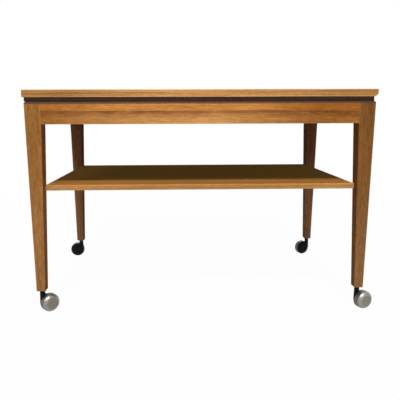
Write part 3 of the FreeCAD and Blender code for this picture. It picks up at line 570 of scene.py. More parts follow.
@dataclass(frozen=True)
class Timber(Finish):
    """Oiled or varnished wood with its figure, pores and rubbed edges."""

    pale: Colour = (0.55, 0.29, 0.10)
    dark: Colour = (0.27, 0.115, 0.032)
    heart: Pair = (0.05, 0.12)
    ring_width: float = 0.006
    lean: float = 0.03
    wander: float = 0.006
    ring_share: float = 0.5
    streak_share: float = 0.55
    fleck_share: float = 0.15
    pore_share: float = 0.45
    cloud_share: float = 0.35
    roughness: float = 0.42
    specular: float = 0.35
    pore_tone: float = 0.35
    worn_gain: float = 1.35
    worn_lift: float = 0.02
    mark_share: float = 0.25
    rub_width: float = 0.003
    rub_share: float = 0.35
    # Painted reflection: a tinted sheen that stands in for surroundings reflected in the wood.
    reflection_sheen: float = 0.0
    reflection_tint: Colour = ALL
    # Painted light: a board painted paler about a point along it, where the light on it was
    # brightest.
    middle_light_gain: Colour = NONE
    palest_at: float = 0.5
    middle_span: Pair = (0.05, 0.5)
    # Painted light: a leg painted paler toward its foot, standing in for light from below.
    foot_light_gain: Colour = NONE
    foot_reach: float = 0.8
    joint_share: float = 0.0
    joint_reach: Pair = (0.3 * MM, 1.8 * MM)
    band: Union[Band, None] = None
    bevel_level: Union[float, None] = None
    # Painted shade: the frame's top bevel, and a narrow strip of face below it, take this dark tone
    # as if shaded by the top's overhang.
    bevel_shade_tone: Colour = (0.08, 0.047, 0.037)
    bevel_shade_share: float = 0.92
    bevel_shade_fade: Pair = (2.6 * MM, 0.6 * MM)
    smear_rough: Pair = (-0.05, 0.07)
    rub_rough: float = 0.06
    pore_rough: float = 0.12
    streak_height: float = 0.4
    relief: float = 0.12 * MM

    @staticmethod
    def along_grain(tree: Tree, place: Socket, grain: Grain) -> Socket:
        """Turn the coordinates so that X runs along the grain.

        Args:
            tree: The material's tree.
            place: Object coordinates.
            grain: The way the grain runs.

        Returns:
            The turned coordinates.
        """
        if grain is Grain.ALONG_X:
            return place
        x, y, z = tree.split(place)
        if grain is Grain.ALONG_Y:
            return tree.join(y, x, z)
        return tree.join(z, x, y)

    def light_and_joints(
        self, tree: Tree, turned: Socket, colour: Socket, start: float, stop: float
    ) -> Socket:
        """Paint light on a board, paler in its middle where the light on it was brightest and paler
        toward its foot where light comes up from below, and darken its ends where they meet a
        joint.

        Args:
            tree: The material's tree.
            turned: Coordinates whose X runs along the grain.
            colour: The board's colour.
            start: Where the board starts along its grain.
            stop: Where it stops.

        Returns:
            The weathered colour.
        """
        along = tree.split(turned)[0]
        share = tree.math("DIVIDE", tree.math("SUBTRACT", along, start), stop - start)
        out = tree.math("ABSOLUTE", tree.math("SUBTRACT", share, self.palest_at))
        middle = tree.between(out, *self.middle_span, 1.0, 0.0)
        foot = tree.between(share, 0.0, self.foot_reach, 1.0, 0.0)
        light_gain, foot_light = tree.scaled(self.middle_light_gain, middle), tree.scaled(self.foot_light_gain, foot)
        light_gain = tree.vector("ADD", tree.vector("ADD", light_gain, foot_light), ALL)
        before, behind = tree.math("SUBTRACT", along, start), tree.math("SUBTRACT", stop, along)
        near = tree.math("MINIMUM", before, behind)
        joint = tree.between(near, *self.joint_reach, 1.0 - self.joint_share, 1.0)
        return tree.scaled(tree.vector("MULTIPLY", colour, light_gain), joint)

    def build(
        self, patterns: Patterns, name: str, grain: Grain, low: Vector, high: Vector
    ) -> Material:
        """Make the material for a piece of a known size and place.

        Args:
            patterns: The shared node groups.
            name: The material's name.
            grain: The way the grain runs.
            low: The piece's lowest corner.
            high: Its highest corner.

        Returns:
            The material.
        """
        material, tree, shader, place = self.start()
        material.name = name
        turned = self.along_grain(tree, place, grain)
        middle, half = (low + high) / 2, (high - low) / 2
        side, across, deep = {
            Grain.ALONG_X: (0, middle.y, middle.z),
            Grain.ALONG_Y: (1, middle.x, middle.z),
            Grain.ALONG_Z: (2, middle.x, middle.y),
        }[grain]
        figure = tree.group(
            patterns.timber,
            Vector=turned,
            Ring_Width=self.ring_width,
            Heart_Y=across + self.heart[0],
            Heart_Z=deep + self.heart[1],
            Lean=self.lean,
            Wander=self.wander,
        ).outputs
        rub = tree.group(
            patterns.rubbed_edge,
            Vector=place,
            Middle=tuple(middle),
            Half=tuple(half),
            Width=self.rub_width,
        ).outputs["Mask"]
        marks = tree.group(patterns.handling, Vector=place).outputs
        rings = tree.math("MULTIPLY", figure["Rings"], self.ring_share)
        streaks = tree.between(figure["Streaks"], *MOST, 0.0, self.streak_share)
        cloud = tree.between(figure["Clouds"], *MOST, 0.0, self.cloud_share)
        depth = tree.math("ADD", tree.math("ADD", rings, streaks), cloud, clamp=True)
        colour = tree.blend(depth, self.pale, self.dark)
        brightest, dimmest = 1.0 + self.fleck_share, 1.0 - self.fleck_share
        flecks = tree.between(figure["Flecks"], *FLECK_SPAN, brightest, dimmest)
        colour = tree.scaled(colour, flecks)
        if self.band is not None:
            colour = self.band.tint(tree, place, colour)
        wear_and_shade_tone = tuple(min(1.0, self.worn_gain * part + self.worn_lift) for part in self.pale)
        filled = tuple(self.pore_tone * part for part in self.dark)
        colour = tree.lay(figure["Pores"], self.pore_share, colour, filled)
        colour = tree.lay(rub, self.rub_share, colour, wear_and_shade_tone)
        colour = tree.lay(marks["Marks"], self.mark_share, colour, wear_and_shade_tone)
        # Painted light: paler middles and feet; the darker joints are real.
        if any((*self.foot_light_gain, *self.middle_light_gain, self.joint_share)):
            colour = self.light_and_joints(tree, turned, colour, low[side], high[side])
        # Painted shade: darken the top bevel and the strip just below it, as under the top's
        # overhang.
        if self.bevel_level is not None:
            level = tree.split(place)[2]
            painted_shade = tree.between(level, *(self.bevel_level - below for below in self.bevel_shade_fade))
            colour = tree.lay(painted_shade, self.bevel_shade_share, colour, self.bevel_shade_tone)
        tree.feed(shader.inputs["Base Color"], colour)
        least, most = (self.roughness + more for more in self.smear_rough)
        rough = tree.between(marks["Smears"], 0.0, 1.0, least, most)
        rough = tree.plus(rough, rub, self.rub_rough)
        rough = tree.plus(rough, figure["Pores"], self.pore_rough)
        tree.feed(shader.inputs["Roughness"], rough)
        tint = (*self.reflection_tint, 1.0)
        self.fix(shader, Specular_IOR_Level=self.specular, Sheen_Weight=self.reflection_sheen, Sheen_Tint=tint)
        height = tree.math("MULTIPLY", figure["Streaks"], self.streak_height)
        height = tree.math("SUBTRACT", height, figure["Pores"])
        self.relieve(tree, shader, height, strength=0.35, distance=self.relief)
        return material


@dataclass(frozen=True)
class Metal(Finish):
    """Plated, drawn or turned metal."""

    colour: Colour = (0.6, 0.59, 0.56)
    roughness: float = 0.32
    tarnish: Colour = (0.3, 0.27, 0.22)
    tarnish_share: float = 0.25
    ring_share: float = 0.18
    fineness: float = 2600.0
    relief: float = 0.02 * MM
    # Painted shade on a wheel's cup: its face is painted darker, for dark surroundings reflected
    # there, and its tread darker still, as shade.
    dull_and_shade_tone: Colour = (0.3, 0.28, 0.25)
    wear_and_shade_tone: Colour = (0.13, 0.112, 0.095)
    tread_shade_share: float = 0.85
    worn_rough: float = 0.12
    face_edge: float = 0.6 * MM
    tread_edge: float = 0.9 * MM
    ring_span: Pair = (0.2, 0.8)
    ring_rough: float = 0.06
    smear_rough: float = 0.08
    stain_rough: float = 0.12
    mark_cells: float = 90.0
    stain_cells: float = 160.0

    def build(
        self, patterns: Patterns, centre: Vector, axis: Vector, reaches: Union[Pair, None] = None
    ) -> Material:
        """Make the material for a piece turned about an axis.

        Args:
            patterns: The shared node groups.
            centre: A point on the piece's axis.
            axis: Direction of the axis.
            reaches: Radius to which a wheel's face is painted darker, standing in for dark
                surroundings reflected in it, and radius from which its tread is painted darker as
                shade.

        Returns:
            The material.
        """
        material, tree, shader, place = self.start()
        centre, axis = tuple(centre), tuple(axis)
        spun = tree.group(
            patterns.spun, Vector=place, Centre=centre, Axis=axis, Fineness=self.fineness
        ).outputs["Rings"]
        marks = tree.group(patterns.handling, Vector=place, Scale=self.mark_cells).outputs
        stain = tree.noise(place, scale=self.stain_cells, detail=4.0, rough=0.65)
        stain = tree.between(stain, *STAIN_SPAN)
        colour = tree.lay(stain, self.tarnish_share, self.colour, self.tarnish)
        colour = tree.blend(tree.between(spun, *MOST, 0.0, self.ring_share), colour, self.tarnish)
        least, most = self.roughness - self.ring_rough, self.roughness + self.ring_rough
        rough = tree.between(spun, *self.ring_span, least, most)
        # Painted shade: darken the cup's face and its outer tread; the added roughness there is the
        # finish.
        if reaches is not None:
            face, tread = reaches
            offset = tree.vector("SUBTRACT", place, centre)
            out = tree.measure("LENGTH", tree.vector("CROSS_PRODUCT", offset, axis))
            face_shade = tree.between(out, face, face + self.face_edge, 1.0, 0.0)
            tread_shade = tree.between(out, tread, tread + self.tread_edge)
            colour = tree.blend(face_shade, colour, self.dull_and_shade_tone)
            colour = tree.lay(tread_shade, self.tread_shade_share, colour, self.wear_and_shade_tone)
            rough = tree.plus(rough, tree.math("MAXIMUM", face_shade, tread_shade), self.worn_rough)
        tree.feed(shader.inputs["Base Color"], colour)
        rough = tree.plus(rough, marks["Smears"], self.smear_rough)
        rough = tree.plus(rough, stain, self.stain_rough)
        tree.feed(shader.inputs["Roughness"], rough)
        self.fix(shader, Metallic=1.0)
        height = tree.math("ADD", spun, marks["Marks"])
        self.relieve(tree, shader, height, strength=0.4, distance=self.relief)
        return material


@dataclass(frozen=True)
class Coated(Finish):
    """Enamel or moulded nylon: one colour with dust, chips and a fine skin."""

    colour: Colour = (0.012, 0.012, 0.014)
    dust: Colour = (0.16, 0.15, 0.14)
    dust_share: float = 0.1
    mark_share: float = 0.2
    roughness: float = 0.2
    specular: float = 0.12
    smear_rough: float = 0.12
    mark_cells: float = 60.0
    skin_cells: float = 900.0
    relief: float = 0.01 * MM

    def build(self, patterns: Patterns) -> Material:
        """Make the material.

        Args:
            patterns: The shared node groups.

        Returns:
            The material.
        """
        material, tree, shader, place = self.start()
        marks = tree.group(patterns.handling, Vector=place, Scale=self.mark_cells).outputs
        colour = tree.lay(marks["Smears"], self.dust_share, self.colour, self.dust)
        colour = tree.lay(marks["Marks"], self.mark_share, colour, self.dust)
        tree.feed(shader.inputs["Base Color"], colour)
        most = self.roughness + self.smear_rough
        rough = tree.between(marks["Smears"], 0.0, 1.0, self.roughness, most)
        tree.feed(shader.inputs["Roughness"], rough)
        self.fix(shader, Specular_IOR_Level=self.specular)
        height = tree.noise(place, scale=self.skin_cells)
        self.relieve(tree, shader, height, strength=0.3, distance=self.relief)
        return material


# Zinc is on the castors' stems, axles and sockets, and on the stays.
ZINC = Metal("zinc plate", colour=(0.56, 0.56, 0.54), roughness=0.36)


# ---- Meshes -------------------------------------------------------------------------------
def evaluated(piece: Piece) -> bpy.types.Mesh:
    """Make a mesh of a piece as its modifiers leave it.

    Args:
        piece: The piece, which stays as it is.

    Returns:
        The new mesh.
    """
    bpy.context.view_layer.update()
    graph = bpy.context.evaluated_depsgraph_get()
    return bpy.data.meshes.new_from_object(piece.evaluated_get(graph))


def finish_mesh(name: str, form: Form, smooth_deg: float = 35.0) -> Piece:
    """Turn a bmesh into an object at the origin with its normals outward.

    Args:
        name: The new object's name.
        form: The shape, which is freed.
        smooth_deg: Edges that bend less than this shade smoothly.

    Returns:
        The new object.
    """
    bmesh.ops.remove_doubles(form, verts=form.verts, dist=1e-7)
    bmesh.ops.recalc_face_normals(form, faces=form.faces)
    for edge in form.edges:
        edge.smooth = not edge.is_manifold or edge.calc_face_angle(0.0) < math.radians(smooth_deg)
    for face in form.faces:
        face.smooth = True
    mesh = bpy.data.meshes.new(name)
    form.to_mesh(mesh)
    form.free()
    piece = bpy.data.objects.new(name, mesh)
    bpy.context.scene.collection.objects.link(piece)
    return piece


def turn_profile(profile: Sequence[Pair], steps: int) -> Form:
    """Spin a closed outline about the Y axis.

    Args:
        profile: Pairs of radius and distance along Y.
        steps: Segments round the axis.

    Returns:
        The solid of revolution.
    """
    form = bmesh.new()
    points = [form.verts.new((radius, along, 0.0)) for radius, along in profile]
    edges = [form.edges.new(pair) for pair in zip(points, points[1:])]
    bmesh.ops.spin(
        form,
        geom=points + edges,
        cent=NONE,
        axis=REAR,
        angle=math.tau,
        steps=steps,
        use_merge=True,
    )
    bmesh.ops.remove_doubles(form, verts=form.verts, dist=1e-6)
    bmesh.ops.recalc_face_normals(form, faces=form.faces)
    return form


def soften(form: Form, offset: float, segments: int, least_deg: float = 25.0) -> None:
    """Round the edges that bend more than an angle.

    Args:
        form: The shape to change.
        offset: How far back from the edge the rounding starts.
        segments: Facets across the rounding.
        least_deg: Edges that bend less are left.
    """
    least = math.radians(least_deg)
    sharp = [edge for edge in form.edges if edge.is_manifold and edge.calc_face_angle(0.0) > least]
    bmesh.ops.bevel(
        form,
        geom=sharp,
        offset=offset,
        offset_type="OFFSET",
        segments=segments,
        profile=0.5,
        affect="EDGES",
        clamp_overlap=True,
        material=-1,
    )


def put_on(piece: Piece, material: Material) -> None:
    """Give a piece one material in place of any it had."""
    piece.data.materials.clear()
    piece.data.materials.append(material)


def rod(radius: float, length: float, segments: int, place: Matrix) -> Form:
    """A closed round rod.

    Args:
        radius: Its radius.
        length: Its length.
        segments: Facets round it.
        place: Where it lies, from a rod on the Z axis with its middle at the origin.

    Returns:
        The rod.
    """
    form = bmesh.new()
    bmesh.ops.create_cone(
        form,
        cap_ends=True,
        segments=segments,
        radius1=radius,
        radius2=radius,
        depth=length,
        matrix=place,
    )
    return form


def merged(name: str, parts: Sequence[Form], voxel: float, rounds: int) -> Form:
    """Join overlapping closed forms into one skin and smooth where they meet.

    Args:
        name: Name for the passing object that is remeshed.
        parts: The forms, which are freed.
        voxel: Size of the remesh's cells.
        rounds: How often the skin is smoothed.

    Returns:
        The joined form.
    """
    whole = bpy.data.meshes.new(name)
    gathered = bmesh.new()
    for part in parts:
        part.to_mesh(whole)
        part.free()
        gathered.from_mesh(whole)
    gathered.to_mesh(whole)
    gathered.free()
    rough = bpy.data.objects.new(name, whole)
    bpy.context.scene.collection.objects.link(rough)
    remesh = rough.modifiers.new("skin", "REMESH")
    remesh.mode = "VOXEL"
    remesh.voxel_size = voxel
    skin = evaluated(rough)
    form = bmesh.new()
    form.from_mesh(skin)
    for _ in range(rounds):
        bmesh.ops.smooth_vert(
            form, verts=form.verts, factor=0.5, use_axis_x=True, use_axis_y=True, use_axis_z=True
        )
    bpy.data.objects.remove(rough)
    bpy.data.meshes.remove(whole)
    bpy.data.meshes.remove(skin)
    return form


def carved(form: Form, tool: Form) -> Form:
    """Cut one closed form out of another.

    Args:
        form: The form to cut, which is freed.
        tool: What is taken away, which is freed.

    Returns:
        The cut form.
    """
    meshes = []
    for name, part in (("stock", form), ("cutter", tool)):
        mesh = bpy.data.meshes.new(name)
        part.to_mesh(mesh)
        part.free()
        meshes.append(mesh)
    stock, cutter = (bpy.data.objects.new(mesh.name, mesh) for mesh in meshes)
    for piece in (stock, cutter):
        bpy.context.scene.collection.objects.link(piece)
    cut = stock.modifiers.new("cut", "BOOLEAN")
    cut.operation = "DIFFERENCE"
    cut.solver = "EXACT"
    cut.object = cutter
    result = evaluated(stock)
    carved_form = bmesh.new()
    carved_form.from_mesh(result)
    for piece in (stock, cutter):
        bpy.data.objects.remove(piece)
    for mesh in (*meshes, result):
        bpy.data.meshes.remove(mesh)
    return carved_form


# ---- Castors ------------------------------------------------------------------------------
# Facets round the turned pieces.
CUP_STEPS = 128
HOOD_STEPS = 96
COLUMN_STEPS = 64
SCREW_STEPS = 32


class Corner(Enum):
    """The four castors, by the corner that each one carries."""

    FRONT_LEFT = "front_left"
    FRONT_RIGHT = "front_right"
    REAR_LEFT = "rear_left"
    REAR_RIGHT = "rear_right"


@dataclass
class Castor:
    """A castor: a nickel cup wheel beside a black hood whose column turns on the stem.

    A castor is modelled with its stem on the Z axis and its wheel trailing along +X,
    and then turned and moved to its corner.
    """

    patterns: Patterns
    # Painted shade: the darker colour for the cup's face stands in for dark surroundings reflected
    # in it.
    nickel: Metal = Metal(
        "satin nickel", colour=(0.305, 0.29, 0.26), roughness=0.35, dull_and_shade_tone=(0.243, 0.223, 0.188)
    )
    zinc: Metal = ZINC
    enamel: Coated = Coated(
        "black enamel", colour=(0.002, 0.002, 0.0025), specular=0.085, dust_share=0.03
    )
    nylon: Coated = Coated("grey nylon", colour=(0.05, 0.05, 0.05), roughness=0.5, dust_share=0.3)
    wheel_radius: float = 23.0 * MM
    wheel_width: float = 20.5 * MM
    face_radius: float = 14.5 * MM
    cup_wall: float = 1.5 * MM
    trail: float = 14.5 * MM
    side_offset: float = 12.3 * MM
    hood_gap: float = 0.6 * MM
    hood_thickness: float = 6.5 * MM
    hood_radius: float = 22.8 * MM
    shoulder_rise: float = 4.0 * MM
    column_radius: float = 6.4 * MM
    column_top: float = 57.2 * MM
    foot_depth: float = 0.6
    wheel_clearance: float = 1.0 * MM
    # How far in from the rim the tread is painted dark as shade.
    tread_shade_width: float = 0.95 * MM
    shoulder_bulge: float = 1.4
    shoulder_steps: int = 12
    voxel: float = 0.5 * MM
    smooth_rounds: int = 3

    # The cup's groove and turned lip, in millimetres in from its tread and from its open back.
    lip: Pairs = ((0.0, 2.2), (0.15, 1.8), (0.0, 1.4), (0.0, 0.5), (0.5, 0.0))

    # The hood's domed back, in millimetres in from its rim and down from its middle.
    dome: Pairs = ((0.3, 5.1), (1.4, 3.9), (3.4, 2.4), (5.8, 1.1), (8.6, 0.35))

    # How far the web's back lies below the dome's, at the disc and at the column.
    web_sunk: Pair = (3.2 * MM, 1.6 * MM)

    @property
    def wheel_face(self) -> float:
        """The wheel's face, along Y."""
        return -self.side_offset - self.wheel_width / 2

    @property
    def wheel_back(self) -> float:
        """The wheel's open back, along Y."""
        return self.wheel_face + self.wheel_width

    @property
    def hood_front(self) -> float:
        """The hood's side next to the wheel, along Y."""
        return self.wheel_back + self.hood_gap

    @property
    def reaches(self) -> Pair:
        """Radius of the cup's face, painted darker for the dark surroundings it reflects, and the
        radius where its tread, painted darker as shade, starts.
        """
        return self.face_radius, self.wheel_radius - self.tread_shade_width

    @property
    def hub(self) -> Vector:
        """The middle of the wheel's axle, level with the stem."""
        return Vector((self.trail, 0.0, self.wheel_radius))

    def place(self, corner: Corner) -> Matrix:
        """Where a castor stands, from its two joints.

        Args:
            corner: Which castor.

        Returns:
            The move from the castor's own frame to the trolley's.
        """
        joints = {joint["name"]: joint for joint in frame["joints"]}
        stem = joints[f"castor_{corner.value}_swivel"]["pos_m"]
        axle = joints[f"castor_{corner.value}_wheel"]["axis"]
        turn = math.atan2(axle[0], -axle[1])
        return Matrix.Translation((stem[0], stem[1], 0.0)) @ Matrix.Rotation(turn, 4, "Z")

    def cup(self) -> Form:
        """The pressed cup: a flat face, a crease, a round shoulder, a plain tread and a turned lip.

        Returns:
            The cup, about its own axle.
        """
        radius, wall = self.wheel_radius, self.cup_wall
        face, back = self.wheel_face, self.wheel_back
        drop = radius - self.face_radius
        bulge = self.shoulder_bulge * drop
        half_chord = drop / math.sqrt(2.0)
        sunk = (math.sqrt(bulge**2 - half_chord**2) - half_chord) / math.sqrt(2.0)
        centre_out, centre_along = self.face_radius - sunk, face + drop + sunk
        first = math.atan2(face - centre_along, self.face_radius - centre_out)
        last = math.atan2(face + drop - centre_along, radius - centre_out)
        shoulder = []
        for step in range(1, self.shoulder_steps + 1):
            angle = first + (last - first) * step / self.shoulder_steps
            out, along = bulge * math.cos(angle), bulge * math.sin(angle)
            shoulder.append((centre_out + out, centre_along + along))
        outside = [
            (0.0, face + 0.35 * MM),
            (9.0 * MM, face + 0.25 * MM),
            (self.face_radius - 1.5 * MM, face),
            (self.face_radius, face),
            *shoulder,
            *((radius - inset * MM, back - short * MM) for inset, short in self.lip),
        ]
        inside = [
            (radius - wall + 0.3 * MM, back),
            (radius - wall, back - 0.4 * MM),
            (radius - wall, face + drop),
            (self.face_radius - 0.5 * MM, face + wall + 0.1 * MM),
            (0.0, face + wall + 0.1 * MM),
        ]
        form = turn_profile(outside + inside, CUP_STEPS)
        soften(form, offset=0.2 * MM, segments=2, least_deg=14.0)
        return form

    def hood(self) -> Form:
        """The hood: a shallow dome with a narrow rim that runs tangent into the upright column.

        Returns:
            The hood in the castor's own frame.
        """
        front, radius = self.hood_front, self.hood_radius
        back = front + self.hood_thickness
        disc = turn_profile(
            [
                (0.0, front),
                (radius - 0.6 * MM, front),
                (radius, front + 0.8 * MM),
                *((radius - inset * MM, back - fall * MM) for inset, fall in self.dome),
                (9.0 * MM, back - 0.1 * MM),
                (0.0, back),
            ],
            HOOD_STEPS,
        )
        bmesh.ops.translate(disc, verts=disc.verts, vec=self.hub)
        tall = self.column_top - self.wheel_radius
        middle = self.wheel_radius + tall / 2
        column = rod(self.column_radius, tall, COLUMN_STEPS, Matrix.Translation((0.0, 0.0, middle)))
        foot = [vert for vert in column.verts if vert.co.z < middle]
        spread = (radius - self.trail) / self.column_radius
        bmesh.ops.scale(column, verts=foot, vec=(spread, self.foot_depth, 1.0))
        web = bmesh.new()
        for high, depth, sunk in (
            (self.wheel_radius + radius - 2.0 * MM, self.trail, self.web_sunk[0]),
            (self.wheel_radius + radius + self.shoulder_rise, 0.0, self.web_sunk[1]),
        ):
            for side in (front, back - sunk):
                for level in (self.wheel_radius, high):
                    web.verts.new((depth, side, level))
        bmesh.ops.convex_hull(web, input=web.verts)
        long = 30.0 * MM
        lying = Matrix.Translation((self.trail, front - long / 2, self.wheel_radius))
        lying = lying @ Matrix.Rotation(math.pi / 2, 4, "X")
        sweep = rod(self.wheel_radius + self.wheel_clearance, long, CUP_STEPS, lying)
        parts = [disc, carved(column, sweep), web]
        return merged("hood skin", parts, self.voxel, self.smooth_rounds)

    def build(self) -> None:
        """Make, dress and place the wheel cups and hoods, and dress the other castor nodes."""
        nodes = frame["nodes"]
        cup, hood = self.cup(), self.hood()
        bmesh.ops.translate(cup, verts=cup.verts, vec=self.hub)
        for corner in Corner:
            name = f"castor_{corner.value}"
            place = self.place(corner)
            axle = (place @ self.hub, place.to_3x3() @ REAR)
            nickel = self.nickel.build(self.patterns, *axle, self.reaches)
            for part, form, material, slot, body in (
                ("wheel_shell", cup, nickel, "nickel_shell", "wheel"),
                ("hood", hood, self.enamel.build(self.patterns), "hood_black", "swivel"),
            ):
                copy = form.copy()
                bmesh.ops.transform(copy, matrix=place, verts=copy.verts)
                piece = finish_mesh(f"{name}_{part}_finished", copy)
                put_on(piece, material)
                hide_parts(f"{name}_{part}")
                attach(piece, f"{name}_{body}")
            put_on(nodes[f"{name}_wheel_core"], self.nylon.build(self.patterns))
            put_on(nodes[f"{name}_stem"], self.zinc.build(self.patterns, place.translation, UP))
            put_on(nodes[f"{name}_axle"], self.zinc.build(self.patterns, *axle))
            LOG.info("%s stands at %s", name, tuple(round(part, 4) for part in place.translation))
        put_on(nodes["castor_sockets"], self.zinc.build(self.patterns, Vector(), UP))
        cup.free()
        hood.free()


# ---- Wood ---------------------------------------------------------------------------------
def leg_timbers() -> dict[Corner, Timber]:
    """The four legs' timbers, each painted to the light on it: darker where less light falls, and
    paler toward the foot.

    Returns:
        Each corner's timber.
    """
    plain = Timber(
        "teak leg",
        heart=(0.05, 0.09),
        ring_share=0.25,
        streak_share=0.4,
        fleck_share=0.24,
        pore_share=0.35,
        cloud_share=0.45,
        specular=0.0,
        # The top bevel is painted dark as shade.
        bevel_level=BEVEL_LOW,
    )
    # Painted shade: the rear legs get a darker colour for the shade under the top.
    rear = replace(
        plain,
        name="teak leg rear",
        pale=(0.22, 0.1, 0.045),
        dark=(0.13, 0.055, 0.024),
        foot_light_gain=(0.3, 0.4, 0.35),
    )
    return {
        Corner.FRONT_LEFT: replace(
            plain,
            name="teak leg left",
            pale=(0.385, 0.17, 0.046),
            dark=(0.235, 0.098, 0.024),
            foot_light_gain=(0.0, 0.05, 0.35),
        ),
        # Painted shade: darker than the left leg, where the light falls off to the right.
        Corner.FRONT_RIGHT: replace(
            plain,
            name="teak leg right",
            pale=(0.25, 0.11, 0.03),
            dark=(0.15, 0.06, 0.0145),
            heart=(-0.07, 0.1),
            foot_light_gain=(0.1, 0.25, 0.8),
        ),
        Corner.REAR_LEFT: rear,
        # Painted light: paler than the rear left leg, which the fill lamp reaches and this one does
        # not.
        Corner.REAR_RIGHT: replace(
            rear,
            name="teak leg rear right",
            pale=(0.27, 0.125, 0.055),
            heart=(0.06, 0.08),
            foot_light_gain=(0.6, 0.75, 0.75),
        ),
    }


@dataclass
class Woodwork:
    """The top, leaf, frame and shelf, each node with the timber it is made of."""

    patterns: Patterns
    legs: dict[Corner, Timber] = field(default_factory=leg_timbers)
    side_apron: Timber = Timber(
        "teak side apron",
        pale=(0.45, 0.18, 0.045),
        dark=(0.29, 0.1, 0.022),
        heart=(0.04, 0.3),
        lean=0.0,
        wander=0.002,
        ring_share=0.3,
        fleck_share=0.2,
        cloud_share=0.5,
        specular=0.02,
        # The top bevel is painted dark as shade.
        bevel_level=BEVEL_LOW,
    )
    apron: Timber = replace(
        side_apron,
        name="teak apron",
        pale=(0.44, 0.163, 0.029),
        dark=(0.27, 0.088, 0.0145),
        # Painted light: the apron is painted paler a little left of its middle, where the light on
        # it was brightest.
        middle_light_gain=(0.72, 1.05, 1.9),
        palest_at=0.43,
        joint_share=0.3,
        band=Band(level=0.5065),
    )
    panel: Timber = Timber(
        "teak veneer",
        pale=(0.50, 0.24, 0.08),
        dark=(0.29, 0.12, 0.034),
        heart=(0.0, -0.14),
        specular=0.05,
    )
    lipping: Timber = Timber(
        "teak lipping",
        pale=(0.54, 0.276, 0.094),
        dark=(0.29, 0.122, 0.034),
        heart=(0.03, -0.09),
        specular=0.03,
        # Painted light: the lipping is painted paler near its middle, where the light on it was
        # brightest.
        middle_light_gain=(0.3, 0.33, 0.36),
        palest_at=0.46,
    )
    shelf: Timber = Timber(
        "teak shelf",
        pale=(0.38, 0.102, 0.016),
        dark=(0.2, 0.051, 0.008),
        heart=(0.03, -0.12),
        cloud_share=0.5,
        roughness=0.4,
        specular=0.0,
        # Painted reflection: the olive sheen stands in for greenery reflected in the shelf, and
        # lifts its shaded part.
        reflection_sheen=0.4,
        reflection_tint=(1.0, 0.9, 0.24),
    )
    shelf_lipping: Timber = Timber(
        "pale lipping",
        pale=(0.545, 0.28, 0.094),
        dark=(0.33, 0.145, 0.042),
        heart=(0.02, -0.07),
        specular=0.0,
    )
    # The spacer is coloured near black-brown, much darker than the frame.
    spacer: Timber = Timber(
        "dark spacer",
        pale=(0.14, 0.088, 0.064),
        dark=(0.085, 0.05, 0.036),
        rub_share=0.1,
        specular=0.04,
    )
    block: Timber = Timber(
        "sawn softwood", pale=(0.66, 0.47, 0.28), dark=(0.5, 0.3, 0.15), roughness=0.7, specular=0.2
    )
    dowel: Timber = Timber(
        "beech dowel", pale=(0.68, 0.5, 0.33), dark=(0.55, 0.37, 0.22), roughness=0.6, specular=0.2
    )

    def table(self) -> dict[str, tuple[Timber, Grain]]:
        """List every wooden node.

        Returns:
            Each node's timber and the way its grain runs.
        """
        x, y, z = Grain.ALONG_X, Grain.ALONG_Y, Grain.ALONG_Z
        table = {
            "top_panel": (self.panel, x),
            "leaf_panel": (self.panel, x),
            "shelf_panel": (self.shelf, x),
            "apron_front": (self.apron, x),
            "apron_rear": (self.apron, x),
            "apron_left": (self.side_apron, y),
            "apron_right": (self.side_apron, y),
            "corner_blocks": (self.block, x),
            "shelf_dowels": (self.dowel, x),
        }
        for edge, grain in (("front", x), ("rear", x), ("ends", y)):
            table[f"top_lipping_{edge}"] = (self.lipping, grain)
            table[f"leaf_lipping_{edge}"] = (self.lipping, grain)
            table[f"shelf_lipping_{edge}"] = (self.shelf_lipping, grain)
            table[f"spacer_{edge}"] = (self.spacer, grain)
        for corner in Corner:
            table[f"leg_{corner.value}"] = (self.legs[corner], z)
        return table

    def build(self) -> None:
        """Dress every wooden node."""
        for node, (timber, grain) in self.table().items():
            low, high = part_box(node)
            material = timber.build(self.patterns, f"{timber.name} {node}", grain, low, high)
            put_on(frame["nodes"][node], material)
            LOG.info("%s is %s, grain %s", node, timber.name, grain.value)


